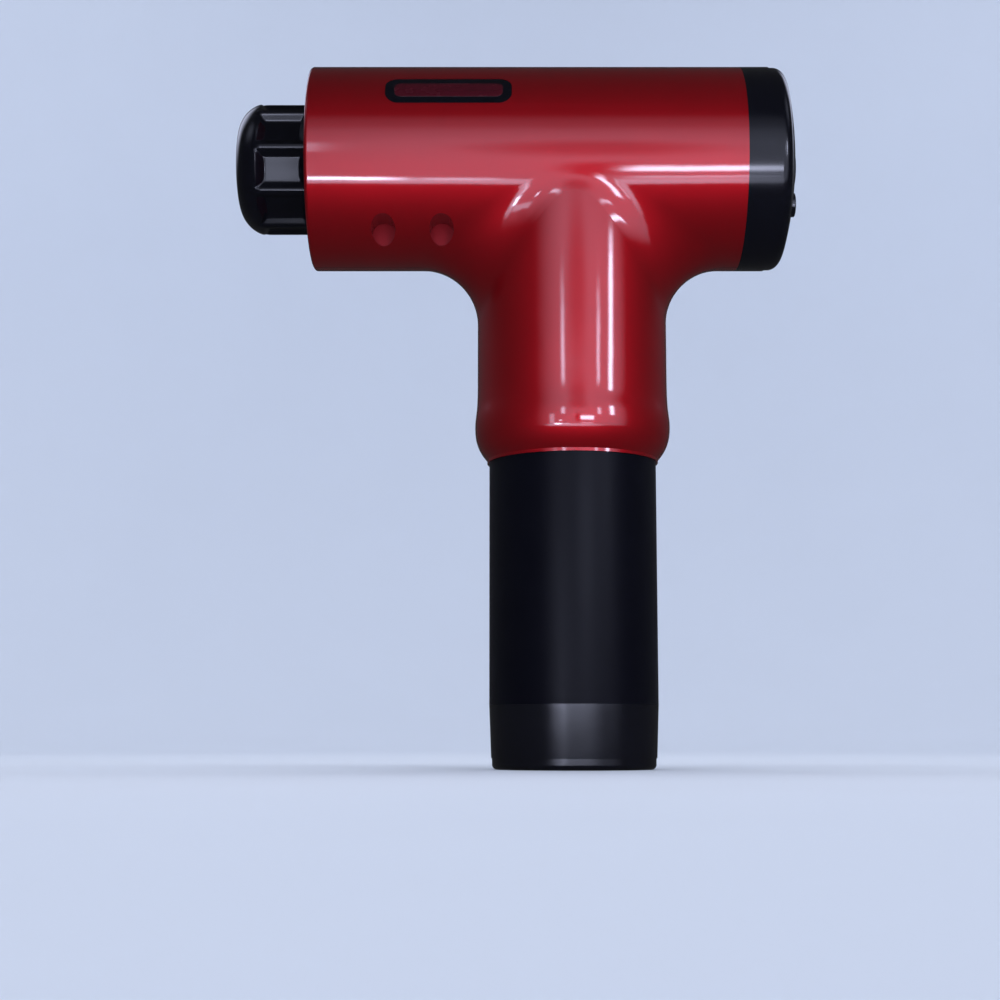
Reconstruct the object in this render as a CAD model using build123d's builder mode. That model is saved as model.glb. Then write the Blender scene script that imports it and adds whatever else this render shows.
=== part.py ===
from build123d import *
import os
from math import cos, radians, sin, sqrt

os.makedirs("parts", exist_ok=True)

# A massage gun, in millimetres. The handle stands along +Z, the barrel lies along X with
# its nose towards -X, and the two housing halves meet on the XZ plane. The origin is the
# centre of the face that the handle stands on.

# Housing
barrel_radius = 34.0
barrel_height = 200.8
barrel_front = 87.0
barrel_rear = 55.8
neck_step = 2.6
junction_radius = 20.0
shell_wall = 2.5
barrel_edge = 1.2
collar_step = 0.8
collar_height = 13.0
collar_drop = 5.0
lip_step = 0.7
flare_slope = 0.9
rib_width = 2.4
grip_top = 100.0

# Handle
grip_radius = 27.5
sleeve_wall = 2.0
tube_wall = 1.9
cap_height = 17.0
cap_taper = 0.6
cap_wall = 2.3
base_height = 3.6
base_step = 0.3
base_edge = 1.6
foot_width = 5.0
recess_depth = 2.2
base_web = 2.4
flange_height = 2.9
flange_step = 2.6

# Nose
nose_length = 24.5
nose_radius = 22.0
nose_round = 8.6
nose_curve = 9.9
nose_opening = 12.6
nose_wall = 4.4
nose_panels = 9
nose_turn = 197.0
panel_length = 14.6
panel_width = 12.4
panel_depth = 1.5
panel_setback = 1.6
spigot_step = 3.0

# Rear
ring_length = 9.4
ring_wall = 3.0
ring_web = 2.0
dome_rim = 4.4
dome_round = 3.6
dome_sag = 4.9
dome_wall = 1.8
cable_hole = 12.0

# Stroke mechanism
crank_throw = 5.0
rod_length = 38.0
rod_thickness = 5.0
rod_web = 9.0
rod_wall = 2.8
crank_radius = 15.0
weight_radius = 20.0
crank_thickness = 6.0
crank_lift = 3.5
crank_pin_radius = 4.0
bearing_wall = 4.0
wrist_pin_radius = 2.5
eye_wall = 2.7
piston_radius = 10.0
piston_recess = 3.5
socket_radius = 7.0
socket_depth = 19.0
fork_clearance = 1.0
guide_radius = 15.0
bush_wall = 2.0
bush_length = 12.0
guide_flange = 20.4
guide_flange_thickness = 3.0
frame_thickness = 4.0
frame_side = 10.5
frame_rear = 28.0

# Motor
motor_room = 5.3
motor_drop = 5.0
can_wall = 1.2
can_height = 20.0
can_end = 2.5
magnet_thickness = 1.8
air_gap = 0.6
stack_height = 13.0
teeth = 9
tooth_width = 3.4
coil_thickness = 1.8
motor_shaft_radius = 3.0
motor_bearing_radius = 6.5
motor_bearing_width = 5.0
bearing_tube_wall = 2.0
mount_thickness = 3.0
magnets = 12

# Battery and boards
cell_radius = 9.2
cell_length = 65.0
board_thickness = 1.6
board_drop = 14.0

# Fasteners
screw_radius = 1.5
screw_head_radius = 2.75
small_head_radius = 2.5
screw_head_height = 1.8
boss_wall = 2.0

# Fits between pieces
fit = 0.05
gap = 0.3
loose = 1.0

# Places worked out from the sizes above
front_face = -barrel_front
nose_tip = front_face - nose_length
stroke = 2 * crank_throw
neck_radius = barrel_radius - neck_step
collar_radius = neck_radius + collar_step
lip_radius = grip_radius + lip_step
cap_base_radius = grip_radius - cap_taper
neck_bore = neck_radius - shell_wall
barrel_bore = barrel_radius - shell_wall
tube_radius = grip_radius - sleeve_wall - fit
tube_bore = tube_radius - tube_wall
cap_top = base_height + cap_height
crank_top = barrel_height - rod_thickness / 2 - crank_lift
crank_bottom = crank_top - crank_thickness
frame_top = crank_bottom - loose
frame_bottom = frame_top - frame_thickness
frame_width = 2 * (barrel_bore - frame_side)
mount_bottom = frame_bottom - mount_thickness
motor_radius = neck_bore - motor_room
can_top = mount_bottom - motor_drop
can_bottom = can_top - can_height
main_board_height = can_bottom - board_drop
eye_bore = wrist_pin_radius + crank_throw / 2 + gap
eye_radius = eye_bore + eye_wall
wrist_x = crank_throw - rod_length
fork_front = wrist_x - eye_radius - loose - gap
frame_front = wrist_x - stroke - eye_radius - 2 * loose
guide_rear = frame_front - frame_thickness
piston_tip = nose_tip + piston_recess

barrel_axis = Axis((0, 0, barrel_height), (1, 0, 0))
barrel_side = Plane(origin=(0, 0, barrel_height), x_dir=(1, 0, 0), z_dir=(0, -1, 0))


def across(x):
    """The plane across the barrel at x, centred on the barrel's axis and facing +X."""
    return Plane(origin=(x, 0, barrel_height), x_dir=(0, 1, 0), z_dir=(1, 0, 0))


def save(piece, name):
    piece.part.label = name
    export_step(piece.part, f"parts/{name}.step")


def screw(length, head_radius=screw_head_radius):
    """A socket screw on the Z axis: its head stands on z = 0 and its shank points down."""
    with BuildPart() as piece:
        with BuildSketch(Plane.XY):
            Circle(head_radius)
        extrude(amount=screw_head_height)
        with BuildSketch(Plane.XY):
            Circle(screw_radius)
        extrude(amount=-length)
        with BuildSketch(Plane.XY.offset(screw_head_height)):
            RegularPolygon(head_radius / 2, 6)
        extrude(amount=-screw_head_height / 2, mode=Mode.SUBTRACT)
    return piece.part


# ---- Housing halves -------------------------------------------------------------------

collar_top = grip_top + collar_height
groove_top = collar_top - rib_width
groove_bottom = groove_top - flange_height
flange_radius = tube_radius + flange_step
spigot_radius = nose_radius - spigot_step
guide_front = front_face + gap + fit
isolator_thickness = 5.4
isolator_radius = guide_radius + isolator_thickness
isolator_front = front_face + 2 * shell_wall + gap
rib_front = isolator_front + loose
rib_rear = rib_front + 2 * rib_width
board_radius = neck_bore - loose

# The outside, filled solid.
with BuildPart() as envelope:
    with BuildSketch(across(front_face)):
        Circle(barrel_radius)
    extrude(amount=barrel_front + barrel_rear)
    with BuildSketch(Plane.XY.offset(collar_top)):
        Circle(neck_radius)
    extrude(amount=barrel_height - collar_top)
    joint_line = envelope.edges().filter_by(GeomType.BSPLINE)
    fillet(joint_line, radius=junction_radius)
    fillet(envelope.edges().filter_by(GeomType.CIRCLE).group_by(Axis.X)[0], radius=barrel_edge)
    with BuildSketch(Plane.XZ):
        with BuildLine():
            Line((0, grip_top), (lip_radius, grip_top))
            Line((lip_radius, grip_top), (lip_radius, grip_top + loose))
            Spline(
                (lip_radius, grip_top + loose),
                (collar_radius - gap, grip_top + collar_height - collar_drop),
                (collar_radius, collar_top),
                (neck_radius, collar_top + collar_height),
                tangents=[(flare_slope, 1), (0, 1)],
            )
            Line((neck_radius, collar_top + collar_height), (0, collar_top + collar_height))
            Line((0, collar_top + collar_height), (0, grip_top))
        make_face()
    revolve(axis=Axis.Z)

# The room inside: barrel, neck, the grip tube's seat and the opening for the nose.
with BuildPart() as room:
    with BuildSketch(across(front_face + shell_wall)):
        Circle(barrel_bore)
    extrude(amount=barrel_front + barrel_rear)
    with BuildSketch(across(front_face - loose)):
        Circle(spigot_radius + fit)
    extrude(amount=shell_wall + 2 * loose)
    with BuildSketch(Plane.XY.offset(collar_top)):
        Circle(neck_bore)
    extrude(amount=barrel_height - collar_top)
    with BuildSketch(Plane.XY.offset(grip_top - loose)):
        Circle(tube_radius + fit)
    extrude(amount=collar_height + 2 * loose)
    with BuildSketch(Plane.XY.offset(groove_bottom)):
        Circle(flange_radius + fit)
    extrude(amount=flange_height)

# Rubber pads hold the frame's edges between shelves of the housing.
pad_length = 13.0
pad_wall = 2.0
pad_grip = 3.0
pad_inner = frame_width / 2 - pad_grip
pad_outer = frame_width / 2 + pad_wall
pad_places = (guide_rear + frame_thickness + pad_length, frame_rear - pad_length / 2 - pad_wall)
shelf_inner = pad_inner + loose
well_radius = 4.0
well_places = (-62.0, -43.0)
well_drop = guide_flange + well_radius + boss_wall + gap
well_floor = 14.0
cap_thickness = 2.0
screw_seat = well_floor - cap_thickness - screw_head_height - gap
well_height = barrel_height - well_drop
ring_screw_radius = barrel_bore - screw_radius - boss_wall
ring_screw_depth = 10.0
ring_boss_length = 13.0
screw_hole = screw_radius + fit

# Ribs, shelves and bosses reach halfway into the wall that carries them.
wall_middle = barrel_radius - shell_wall / 2
neck_middle = neck_radius - shell_wall / 2

with BuildPart() as rib_limit:
    with BuildSketch(across(front_face + shell_wall / 2)):
        Circle(wall_middle)
    extrude(amount=barrel_front + barrel_rear - shell_wall / 2)
    with BuildSketch(Plane.XY.offset(collar_top)):
        Circle(neck_middle)
    extrude(amount=barrel_height - collar_top)

with BuildPart() as ribs:
    with BuildSketch(across(rib_front)):
        Circle(barrel_radius)
        Circle(isolator_radius + fit, mode=Mode.SUBTRACT)
    extrude(amount=rib_rear - rib_front)
    for height in (main_board_height - rib_width, main_board_height + board_thickness):
        with BuildSketch(Plane.XY.offset(height)):
            Circle(neck_radius)
            Circle(neck_bore - 2 * loose, mode=Mode.SUBTRACT)
        extrude(amount=rib_width)
    for height in (frame_bottom - pad_wall - rib_width, frame_top + pad_wall):
        with BuildSketch(Plane.XY.offset(height)):
            with Locations(*[(x, 0) for x in pad_places]):
                Rectangle(pad_length, 2 * barrel_radius)
            with Locations(*[(x, 0) for x in pad_places]):
                Rectangle(pad_length, 2 * shelf_inner, mode=Mode.SUBTRACT)
        extrude(amount=rib_width)
    with BuildSketch(Plane(origin=(0, -barrel_radius, well_height), x_dir=(1, 0, 0), z_dir=(0, 1, 0))):
        with Locations(*[(x, 0) for x in well_places]):
            Circle(well_radius + boss_wall)
    extrude(amount=2 * barrel_radius)
    with BuildSketch(across(barrel_rear)):
        with PolarLocations(ring_screw_radius, 4, start_angle=45):
            Circle(screw_radius + boss_wall + loose)
    extrude(amount=-ring_boss_length)
    with BuildSketch(across(barrel_rear)):
        with PolarLocations(ring_screw_radius, 4, start_angle=45):
            Circle(screw_hole)
    extrude(amount=-ring_screw_depth, mode=Mode.SUBTRACT)
    add(rib_limit.part, mode=Mode.INTERSECT)

with BuildPart() as housing:
    add(envelope.part)
    add(room.part, mode=Mode.SUBTRACT)
    add(ribs.part)

seam_left = Plane(origin=(0, 0, well_height), x_dir=(1, 0, 0), z_dir=(0, -1, 0))

# The badge's place on the left half, a shallow recess that follows the barrel.
badge_length = 41.0
badge_height = 12.2
badge_corner = 4.5
badge_thickness = 1.0
badge_depth = 1.1
badge_lift = 31.0
badge_x = -40.7
badge_normal = (0, -cos(radians(badge_lift)), sin(radians(badge_lift)))
badge_plane = Plane(origin=(badge_x, 0, barrel_height), x_dir=(1, 0, 0), z_dir=badge_normal)

with BuildPart() as badge_room:
    with BuildSketch(across(badge_x)):
        Circle(barrel_radius + loose)
        Circle(barrel_radius - badge_depth, mode=Mode.SUBTRACT)
    extrude(amount=badge_length, both=True)
    with BuildSketch(badge_plane):
        RectangleRounded(badge_length + 2 * fit, badge_height + 2 * fit, badge_corner)
    extrude(amount=2 * barrel_radius, mode=Mode.INTERSECT)

with BuildPart() as left_shell:
    add(housing.part)
    split(bisect_by=Plane.XZ, keep=Keep.TOP)
    with BuildSketch(seam_left.offset(screw_seat)):
        with Locations(*[(x, 0) for x in well_places]):
            Circle(well_radius)
    extrude(amount=barrel_radius, mode=Mode.SUBTRACT)
    with BuildSketch(seam_left):
        with Locations(*[(x, 0) for x in well_places]):
            Circle(screw_hole)
    extrude(amount=barrel_radius, mode=Mode.SUBTRACT)
    add(badge_room.part, mode=Mode.SUBTRACT)
save(left_shell, "left_shell")

shell_screw_length = 18.0

with BuildPart() as right_shell:
    add(housing.part)
    split(bisect_by=Plane.XZ, keep=Keep.BOTTOM)
    with BuildSketch(seam_left):
        with Locations(*[(x, 0) for x in well_places]):
            Circle(screw_hole)
    extrude(amount=-shell_screw_length + screw_seat - loose, mode=Mode.SUBTRACT)
save(right_shell, "right_shell")

with BuildPart() as badge:
    with BuildSketch(across(badge_x)):
        Circle(barrel_radius - badge_depth + badge_thickness)
        Circle(barrel_radius - badge_depth, mode=Mode.SUBTRACT)
    extrude(amount=badge_length, both=True)
    with BuildSketch(badge_plane):
        RectangleRounded(badge_length, badge_height, badge_corner)
    extrude(amount=2 * barrel_radius, mode=Mode.INTERSECT)
save(badge, "badge")

with BuildPart() as shell_screws:
    for x in well_places:
        place = Plane(origin=(x, -screw_seat, well_height), x_dir=(1, 0, 0), z_dir=(0, -1, 0))
        add(place.location * screw(shell_screw_length))
save(shell_screws, "shell_screws")

# Plugs of the housing's own plastic close the wells over the screws.
with BuildPart() as screw_plugs:
    with BuildSketch(seam_left.offset(well_floor)):
        with Locations(*[(x, 0) for x in well_places]):
            Circle(well_radius - fit)
    extrude(amount=-cap_thickness)
save(screw_plugs, "screw_plugs")


# ---- Nose -----------------------------------------------------------------------------

panel_rear = front_face - panel_setback

with BuildPart() as nose_ring:
    with BuildSketch(barrel_side):
        with BuildLine():
            Polyline(
                (nose_tip, nose_opening),
                (nose_tip, nose_radius - nose_round),
            )
            RadiusArc(
                (nose_tip, nose_radius - nose_round),
                (nose_tip + nose_round, nose_radius),
                nose_curve,
            )
            Polyline(
                (nose_tip + nose_round, nose_radius),
                (front_face, nose_radius),
                (front_face, spigot_radius),
                (front_face + shell_wall, spigot_radius),
                (front_face + shell_wall, nose_radius),
                (front_face + 2 * shell_wall - gap, nose_radius),
                (front_face + 2 * shell_wall - gap, nose_radius - nose_wall),
                (nose_tip + nose_wall, nose_radius - nose_wall),
                (nose_tip + nose_wall / 2, nose_opening),
                (nose_tip, nose_opening),
            )
        make_face()
    revolve(axis=barrel_axis)
    with BuildSketch(across(panel_rear)):
        for side in range(nose_panels):
            with Locations(Rotation(0, 0, nose_turn + side * 360 / nose_panels)):
                with Locations((nose_radius, 0)):
                    Rectangle(2 * panel_depth, panel_width)
    extrude(amount=-panel_length, mode=Mode.SUBTRACT)
save(nose_ring, "nose_ring")

# A rubber ring, grooved to grip the housing's rib, carries the front of the guide.
isolator_lip = 2.0
with BuildPart() as front_isolator:
    with BuildSketch(barrel_side):
        with BuildLine():
            Polyline(
                (isolator_front, guide_radius + fit),
                (isolator_front, isolator_radius + isolator_lip),
                (rib_front, isolator_radius + isolator_lip),
                (rib_front, isolator_radius),
                (rib_rear, isolator_radius),
                (rib_rear, isolator_radius + isolator_lip),
                (rib_rear + loose, isolator_radius + isolator_lip),
                (rib_rear + loose, guide_radius + fit),
                close=True,
            )
        make_face()
    revolve(axis=barrel_axis)
save(front_isolator, "front_isolator")


# ---- Guide, frame and pads ------------------------------------------------------------

bush_radius = piston_radius + fit + bush_wall
guide_screw_offset = (guide_radius + guide_flange) / 2

with BuildPart() as guide_housing:
    with BuildSketch(across(guide_rear)):
        Circle(guide_flange)
    extrude(amount=-guide_flange_thickness)
    with BuildSketch(across(guide_rear)):
        Circle(guide_radius)
    extrude(amount=guide_front - guide_rear)
    with BuildSketch(across(guide_rear)):
        Circle(bush_radius + fit)
    extrude(amount=guide_front - guide_rear, mode=Mode.SUBTRACT)
    with BuildSketch(across(guide_rear)):
        with PolarLocations(guide_screw_offset, 4, start_angle=45):
            Circle(screw_hole)
    extrude(amount=-guide_flange_thickness, mode=Mode.SUBTRACT)
save(guide_housing, "guide_housing")

for name, rear in (("rear_bush", guide_rear), ("front_bush", guide_front + bush_length)):
    with BuildPart() as bush:
        with BuildSketch(across(rear)):
            Circle(bush_radius)
            Circle(piston_radius + fit, mode=Mode.SUBTRACT)
        extrude(amount=-bush_length)
    save(bush, name)

bulkhead_bore = piston_radius + 2 * loose + gap
tube_bearing = motor_bearing_radius + fit + bearing_tube_wall
mount_radius = 19.0
mount_screw_inset = 5.0
mount_screw_offset = mount_radius - mount_screw_inset
gusset_height = 16.0
gusset_length = 18.0
gusset_width = 3.0

with BuildPart() as drive_frame:
    with BuildSketch(Plane.XY.offset(frame_bottom)):
        with Locations(((guide_rear + frame_rear) / 2, 0)):
            RectangleRounded(frame_rear - guide_rear, frame_width, frame_thickness)
    extrude(amount=frame_thickness)
    with BuildSketch(across(guide_rear)):
        Circle(guide_flange)
    extrude(amount=frame_thickness)
    for side in (-1, 1):
        edge = side * (frame_width / 2 - pad_grip - gusset_width)
        with BuildSketch(Plane.XZ.offset(-edge)):
            with BuildLine():
                Polyline(
                    (frame_front, frame_top),
                    (frame_front, frame_top + gusset_height),
                    (frame_front + gusset_length, frame_top),
                    close=True,
                )
            make_face()
        extrude(amount=gusset_width / 2, both=True)
    with BuildSketch(across(guide_rear)):
        Circle(bulkhead_bore)
    extrude(amount=frame_thickness, mode=Mode.SUBTRACT)
    with BuildSketch(across(guide_rear)):
        with PolarLocations(guide_screw_offset, 4, start_angle=45):
            Circle(screw_hole)
    extrude(amount=frame_thickness, mode=Mode.SUBTRACT)
    with BuildSketch(Plane.XY.offset(frame_bottom)):
        Circle(tube_bearing + fit)
        with PolarLocations(mount_screw_offset, 4, start_angle=45):
            Circle(screw_hole)
    extrude(amount=frame_thickness, mode=Mode.SUBTRACT)
    with BuildSketch(Plane.XY.offset(frame_top)):
        with PolarLocations(mount_screw_offset, 4, start_angle=45):
            Circle(screw_head_radius + fit)
    extrude(amount=-screw_head_height, mode=Mode.SUBTRACT)
save(drive_frame, "drive_frame")

with BuildPart() as guide_screws:
    for turn in range(4):
        angle = radians(45 + 90 * turn)
        centre = (
            guide_rear - guide_flange_thickness,
            guide_screw_offset * cos(angle),
            barrel_height + guide_screw_offset * sin(angle),
        )
        place = Plane(origin=centre, x_dir=(0, 1, 0), z_dir=(-1, 0, 0))
        add(place.location * screw(guide_flange_thickness + frame_thickness, small_head_radius))
save(guide_screws, "guide_screws")

with BuildPart() as frame_pads:
    for side in (-1, 1):
        for x in pad_places:
            middle = side * (pad_inner + pad_outer) / 2
            with BuildSketch(Plane.XY.offset(frame_bottom - pad_wall)):
                with Locations((x, middle)):
                    Rectangle(pad_length, pad_outer - pad_inner)
            extrude(amount=frame_thickness + 2 * pad_wall)
    with BuildSketch(Plane.XY.offset(frame_bottom)):
        with Locations(((guide_rear + frame_rear) / 2, 0)):
            Rectangle(2 * (frame_rear - guide_rear), frame_width)
    extrude(amount=frame_thickness, mode=Mode.SUBTRACT)
save(frame_pads, "frame_pads")


# ---- Motor ----------------------------------------------------------------------------

magnet_outer = motor_radius - can_wall - fit
magnet_inner = magnet_outer - magnet_thickness
stator_radius = magnet_inner - air_gap
stack_bottom = can_bottom + can_end + 2 * loose + coil_thickness
tube_bottom = can_bottom + can_end + loose
core_share = 0.58
core_radius = core_share * stator_radius
shoe_depth = 1.8
coil_inner = core_radius + gap
coil_outer = stator_radius - shoe_depth - loose
shaft_bore = motor_shaft_radius + fit

with BuildPart() as motor_mount:
    with BuildSketch(Plane.XY.offset(mount_bottom)):
        Circle(mount_radius)
    extrude(amount=mount_thickness)
    with BuildSketch(Plane.XY.offset(tube_bottom)):
        Circle(tube_bearing)
    extrude(amount=frame_top - tube_bottom)
    with BuildSketch(Plane.XY.offset(tube_bottom)):
        Circle(motor_bearing_radius + fit)
    extrude(amount=motor_bearing_width, mode=Mode.SUBTRACT)
    with BuildSketch(Plane.XY.offset(frame_top)):
        Circle(motor_bearing_radius + fit)
    extrude(amount=-motor_bearing_width, mode=Mode.SUBTRACT)
    with BuildSketch(Plane.XY.offset(tube_bottom)):
        Circle(motor_bearing_radius - loose)
    extrude(amount=frame_top - tube_bottom, mode=Mode.SUBTRACT)
    with BuildSketch(Plane.XY.offset(mount_bottom)):
        with PolarLocations(mount_screw_offset, 4, start_angle=45):
            Circle(screw_hole)
    extrude(amount=mount_thickness, mode=Mode.SUBTRACT)
save(motor_mount, "motor_mount")

with BuildPart() as motor_bearings:
    for bottom in (tube_bottom, frame_top - motor_bearing_width):
        with BuildSketch(Plane.XY.offset(bottom)):
            Circle(motor_bearing_radius)
            Circle(shaft_bore, mode=Mode.SUBTRACT)
        extrude(amount=motor_bearing_width)
save(motor_bearings, "motor_bearings")

with BuildPart() as motor_screws:
    head_seat = frame_top - screw_head_height
    with PolarLocations(mount_screw_offset, 4, start_angle=45):
        add(Location((0, 0, head_seat)) * screw(head_seat - mount_bottom))
save(motor_screws, "motor_screws")

with BuildPart() as motor_stator:
    with BuildSketch(Plane.XY.offset(stack_bottom)):
        Circle(stator_radius)
        Circle(stator_radius - shoe_depth, mode=Mode.SUBTRACT)
        for slot in range(teeth):
            with Locations(Rotation(0, 0, (slot + 0.5) * 360 / teeth)):
                with Locations((stator_radius, 0)):
                    Rectangle(4 * shoe_depth, tooth_width, mode=Mode.SUBTRACT)
        for tooth in range(teeth):
            with Locations(Rotation(0, 0, tooth * 360 / teeth)):
                with Locations(((tube_bearing + stator_radius) / 2, 0)):
                    Rectangle(stator_radius - tube_bearing - shoe_depth, tooth_width)
        Circle(core_radius)
        Circle(tube_bearing + fit, mode=Mode.SUBTRACT)
    extrude(amount=stack_height)
save(motor_stator, "motor_stator")

with BuildPart() as motor_windings:
    for tooth in range(teeth):
        turned = Plane.XY.rotated((0, 0, tooth * 360 / teeth))
        with BuildSketch(turned.offset(stack_bottom - coil_thickness)):
            with Locations(((coil_inner + coil_outer) / 2, 0)):
                Rectangle(coil_outer - coil_inner, tooth_width + 2 * coil_thickness)
        extrude(amount=stack_height + 2 * coil_thickness)
        with BuildSketch(turned.offset(stack_bottom - fit)):
            with Locations(((coil_inner + coil_outer) / 2, 0)):
                Rectangle(coil_outer - coil_inner, tooth_width + 2 * fit)
        extrude(amount=stack_height + 2 * fit, mode=Mode.SUBTRACT)
save(motor_windings, "motor_windings")

with BuildPart() as motor_can:
    with BuildSketch(Plane.XY.offset(can_bottom)):
        Circle(motor_radius)
    extrude(amount=can_height)
    with BuildSketch(Plane.XY.offset(can_bottom + can_end)):
        Circle(motor_radius - can_wall)
    extrude(amount=can_height, mode=Mode.SUBTRACT)
    with BuildSketch(Plane.XY.offset(can_bottom)):
        Circle(shaft_bore)
        with PolarLocations((core_radius + stator_radius) / 2, 6):
            Circle(can_end)
    extrude(amount=can_end, mode=Mode.SUBTRACT)
save(motor_can, "motor_can")

with BuildPart() as rotor_magnets:
    with BuildSketch(Plane.XY.offset(stack_bottom)):
        Circle(magnet_outer)
        Circle(magnet_inner, mode=Mode.SUBTRACT)
        for magnet in range(magnets):
            with Locations(Rotation(0, 0, magnet * 360 / magnets)):
                with Locations((magnet_outer, 0)):
                    Rectangle(4 * magnet_thickness, loose, mode=Mode.SUBTRACT)
    extrude(amount=stack_height)
save(rotor_magnets, "rotor_magnets")

with BuildPart() as motor_shaft:
    with BuildSketch(Plane.XY.offset(can_bottom)):
        Circle(motor_shaft_radius)
    extrude(amount=crank_top - can_bottom - loose)
save(motor_shaft, "motor_shaft")


# ---- Crank, rod and piston ------------------------------------------------------------

crank_pin_top = barrel_height + rod_thickness / 2 + gap
big_bore = crank_pin_radius + bearing_wall
big_radius = big_bore + fit + rod_wall
washer_thickness = 1.0
crank_screw_length = 8.0
set_screw_length = 6.0
weight_start = 110
weight_turn = 140
rod_tilt = crank_throw / 2

# The disc, its counterweight and its pin are turned from one piece of steel.
with BuildPart() as crank_disc:
    with BuildSketch(Plane.XY.offset(crank_bottom)):
        Circle(crank_radius)
        with BuildLine():
            rim = CenterArc((0, 0), weight_radius, weight_start, weight_turn)
            Line(rim @ 1, rim @ 0)
        make_face()
    extrude(amount=crank_thickness)
    with BuildSketch(Plane.XY.offset(crank_bottom)):
        with Locations((crank_throw, 0)):
            Circle(crank_pin_radius)
    extrude(amount=crank_pin_top - crank_bottom)
    with BuildSketch(Plane.XY.offset(crank_bottom)):
        Circle(shaft_bore)
    extrude(amount=crank_thickness - loose, mode=Mode.SUBTRACT)
    with BuildSketch(Plane.XY.offset(crank_pin_top)):
        with Locations((crank_throw, 0)):
            Circle(screw_hole)
    extrude(amount=-crank_screw_length - fit, mode=Mode.SUBTRACT)
    with BuildSketch(Plane.XZ):
        with Locations((0, crank_bottom + crank_thickness / 2 - loose / 2)):
            Circle(screw_hole)
    extrude(amount=-crank_radius, mode=Mode.SUBTRACT)
save(crank_disc, "crank_disc")

# A set screw holds the disc on the motor's shaft.
with BuildPart() as set_screw:
    with BuildSketch(Plane.XZ.offset(-motor_shaft_radius - fit)):
        with Locations((0, crank_bottom + crank_thickness / 2 - loose / 2)):
            Circle(screw_radius)
    extrude(amount=-set_screw_length)
save(set_screw, "set_screw")

with BuildPart() as crank_washer:
    with BuildSketch(Plane.XY.offset(crank_pin_top)):
        with Locations((crank_throw, 0)):
            Circle(crank_pin_radius + bearing_wall / 2)
            Circle(screw_hole, mode=Mode.SUBTRACT)
    extrude(amount=washer_thickness)
save(crank_washer, "crank_washer")

with BuildPart() as crank_screw:
    head_seat = crank_pin_top + washer_thickness
    add(Location((crank_throw, 0, head_seat)) * screw(crank_screw_length))
save(crank_screw, "crank_screw")

rod_bottom = barrel_height - rod_thickness / 2

with BuildPart() as rod_bearing:
    with BuildSketch(Plane.XY.offset(rod_bottom)):
        with Locations((crank_throw, 0)):
            Circle(big_bore)
            Circle(crank_pin_radius + fit, mode=Mode.SUBTRACT)
    extrude(amount=rod_thickness)
save(rod_bearing, "rod_bearing")

# The rod keeps its direction as the crank turns, so its small eye is large enough for the
# wrist pin to stay inside it. At rest the eye's centre stands half a throw to one side.
with BuildPart() as connecting_rod:
    with BuildSketch(Plane.XY.offset(rod_bottom)):
        with Locations((crank_throw, 0)):
            Circle(big_radius)
        with Locations((wrist_x, -rod_tilt)):
            Circle(eye_radius)
        with BuildLine():
            Line((crank_throw, 0), (wrist_x, -rod_tilt))
        trace(line_width=rod_web)
        with Locations((crank_throw, 0)):
            Circle(big_bore + fit, mode=Mode.SUBTRACT)
        with Locations((wrist_x, -rod_tilt)):
            Circle(eye_bore, mode=Mode.SUBTRACT)
    extrude(amount=rod_thickness)
save(connecting_rod, "connecting_rod")

piston_rear = wrist_x + wrist_pin_radius + 2 * bush_wall
pin_half = piston_radius - 2 * loose

with BuildPart() as piston:
    with BuildSketch(across(piston_tip)):
        Circle(piston_radius)
    extrude(amount=piston_rear - piston_tip)
    chamfer(piston.edges().group_by(Axis.X)[0], length=loose)
    chamfer(piston.edges().group_by(Axis.X)[-1], length=loose)
    with BuildSketch(across(piston_tip)):
        Circle(socket_radius)
    extrude(amount=socket_depth, mode=Mode.SUBTRACT)
    with BuildSketch(Plane.XY.offset(rod_bottom - fork_clearance)):
        with Locations(((fork_front + piston_rear) / 2, 0)):
            Rectangle(piston_rear - fork_front, 2 * piston_radius + loose)
        with Locations((piston_rear, 0)):
            Rectangle(2 * loose, 2 * piston_radius + loose)
    extrude(amount=rod_thickness + 2 * fork_clearance, mode=Mode.SUBTRACT)
    with BuildSketch(Plane.XY.offset(barrel_height - piston_radius)):
        with Locations((wrist_x, 0)):
            Circle(wrist_pin_radius + fit)
    extrude(amount=2 * piston_radius, mode=Mode.SUBTRACT)
save(piston, "piston")

with BuildPart() as wrist_pin:
    with BuildSketch(Plane.XY.offset(barrel_height - pin_half)):
        with Locations((wrist_x, 0)):
            Circle(wrist_pin_radius)
    extrude(amount=2 * pin_half)
save(wrist_pin, "wrist_pin")


# ---- Rear ring, dome and buttons ------------------------------------------------------

ring_rear = barrel_rear + ring_length
ring_bore = barrel_radius - ring_wall
dome_radius = barrel_radius - gap
dome_curve = (dome_radius**2 + dome_sag**2) / (2 * dome_sag)
dome_inner = dome_curve - dome_wall
dome_base = ring_rear + dome_rim
dome_centre = dome_base + dome_sag - dome_curve
dome_lip = 5.0
post_height = 5.0
post_radius = 2.2
post_inset = 5.0
display_x = barrel_rear + ring_web + post_height
display_radius = ring_bore - 2 * loose
post_offset = display_radius - post_inset
display_front = display_x + board_thickness

power_radius = 7.0
speed_radius = 4.0
speed_inset = 11.5
speed_angle = 31.0
button_stand = 0.7
button_travel = 0.6
button_flange = 1.4
lamp_radius = 1.5
lamp_count = 5
lamp_inset = 9.0
lamp_pitch = 18.0
switch_size = 6.0
switch_height = 2.4


def dome_at(distance, curve=dome_curve):
    """How far along X the dome reaches at a distance from the barrel's axis."""
    return dome_centre + sqrt(curve**2 - distance**2)


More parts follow.
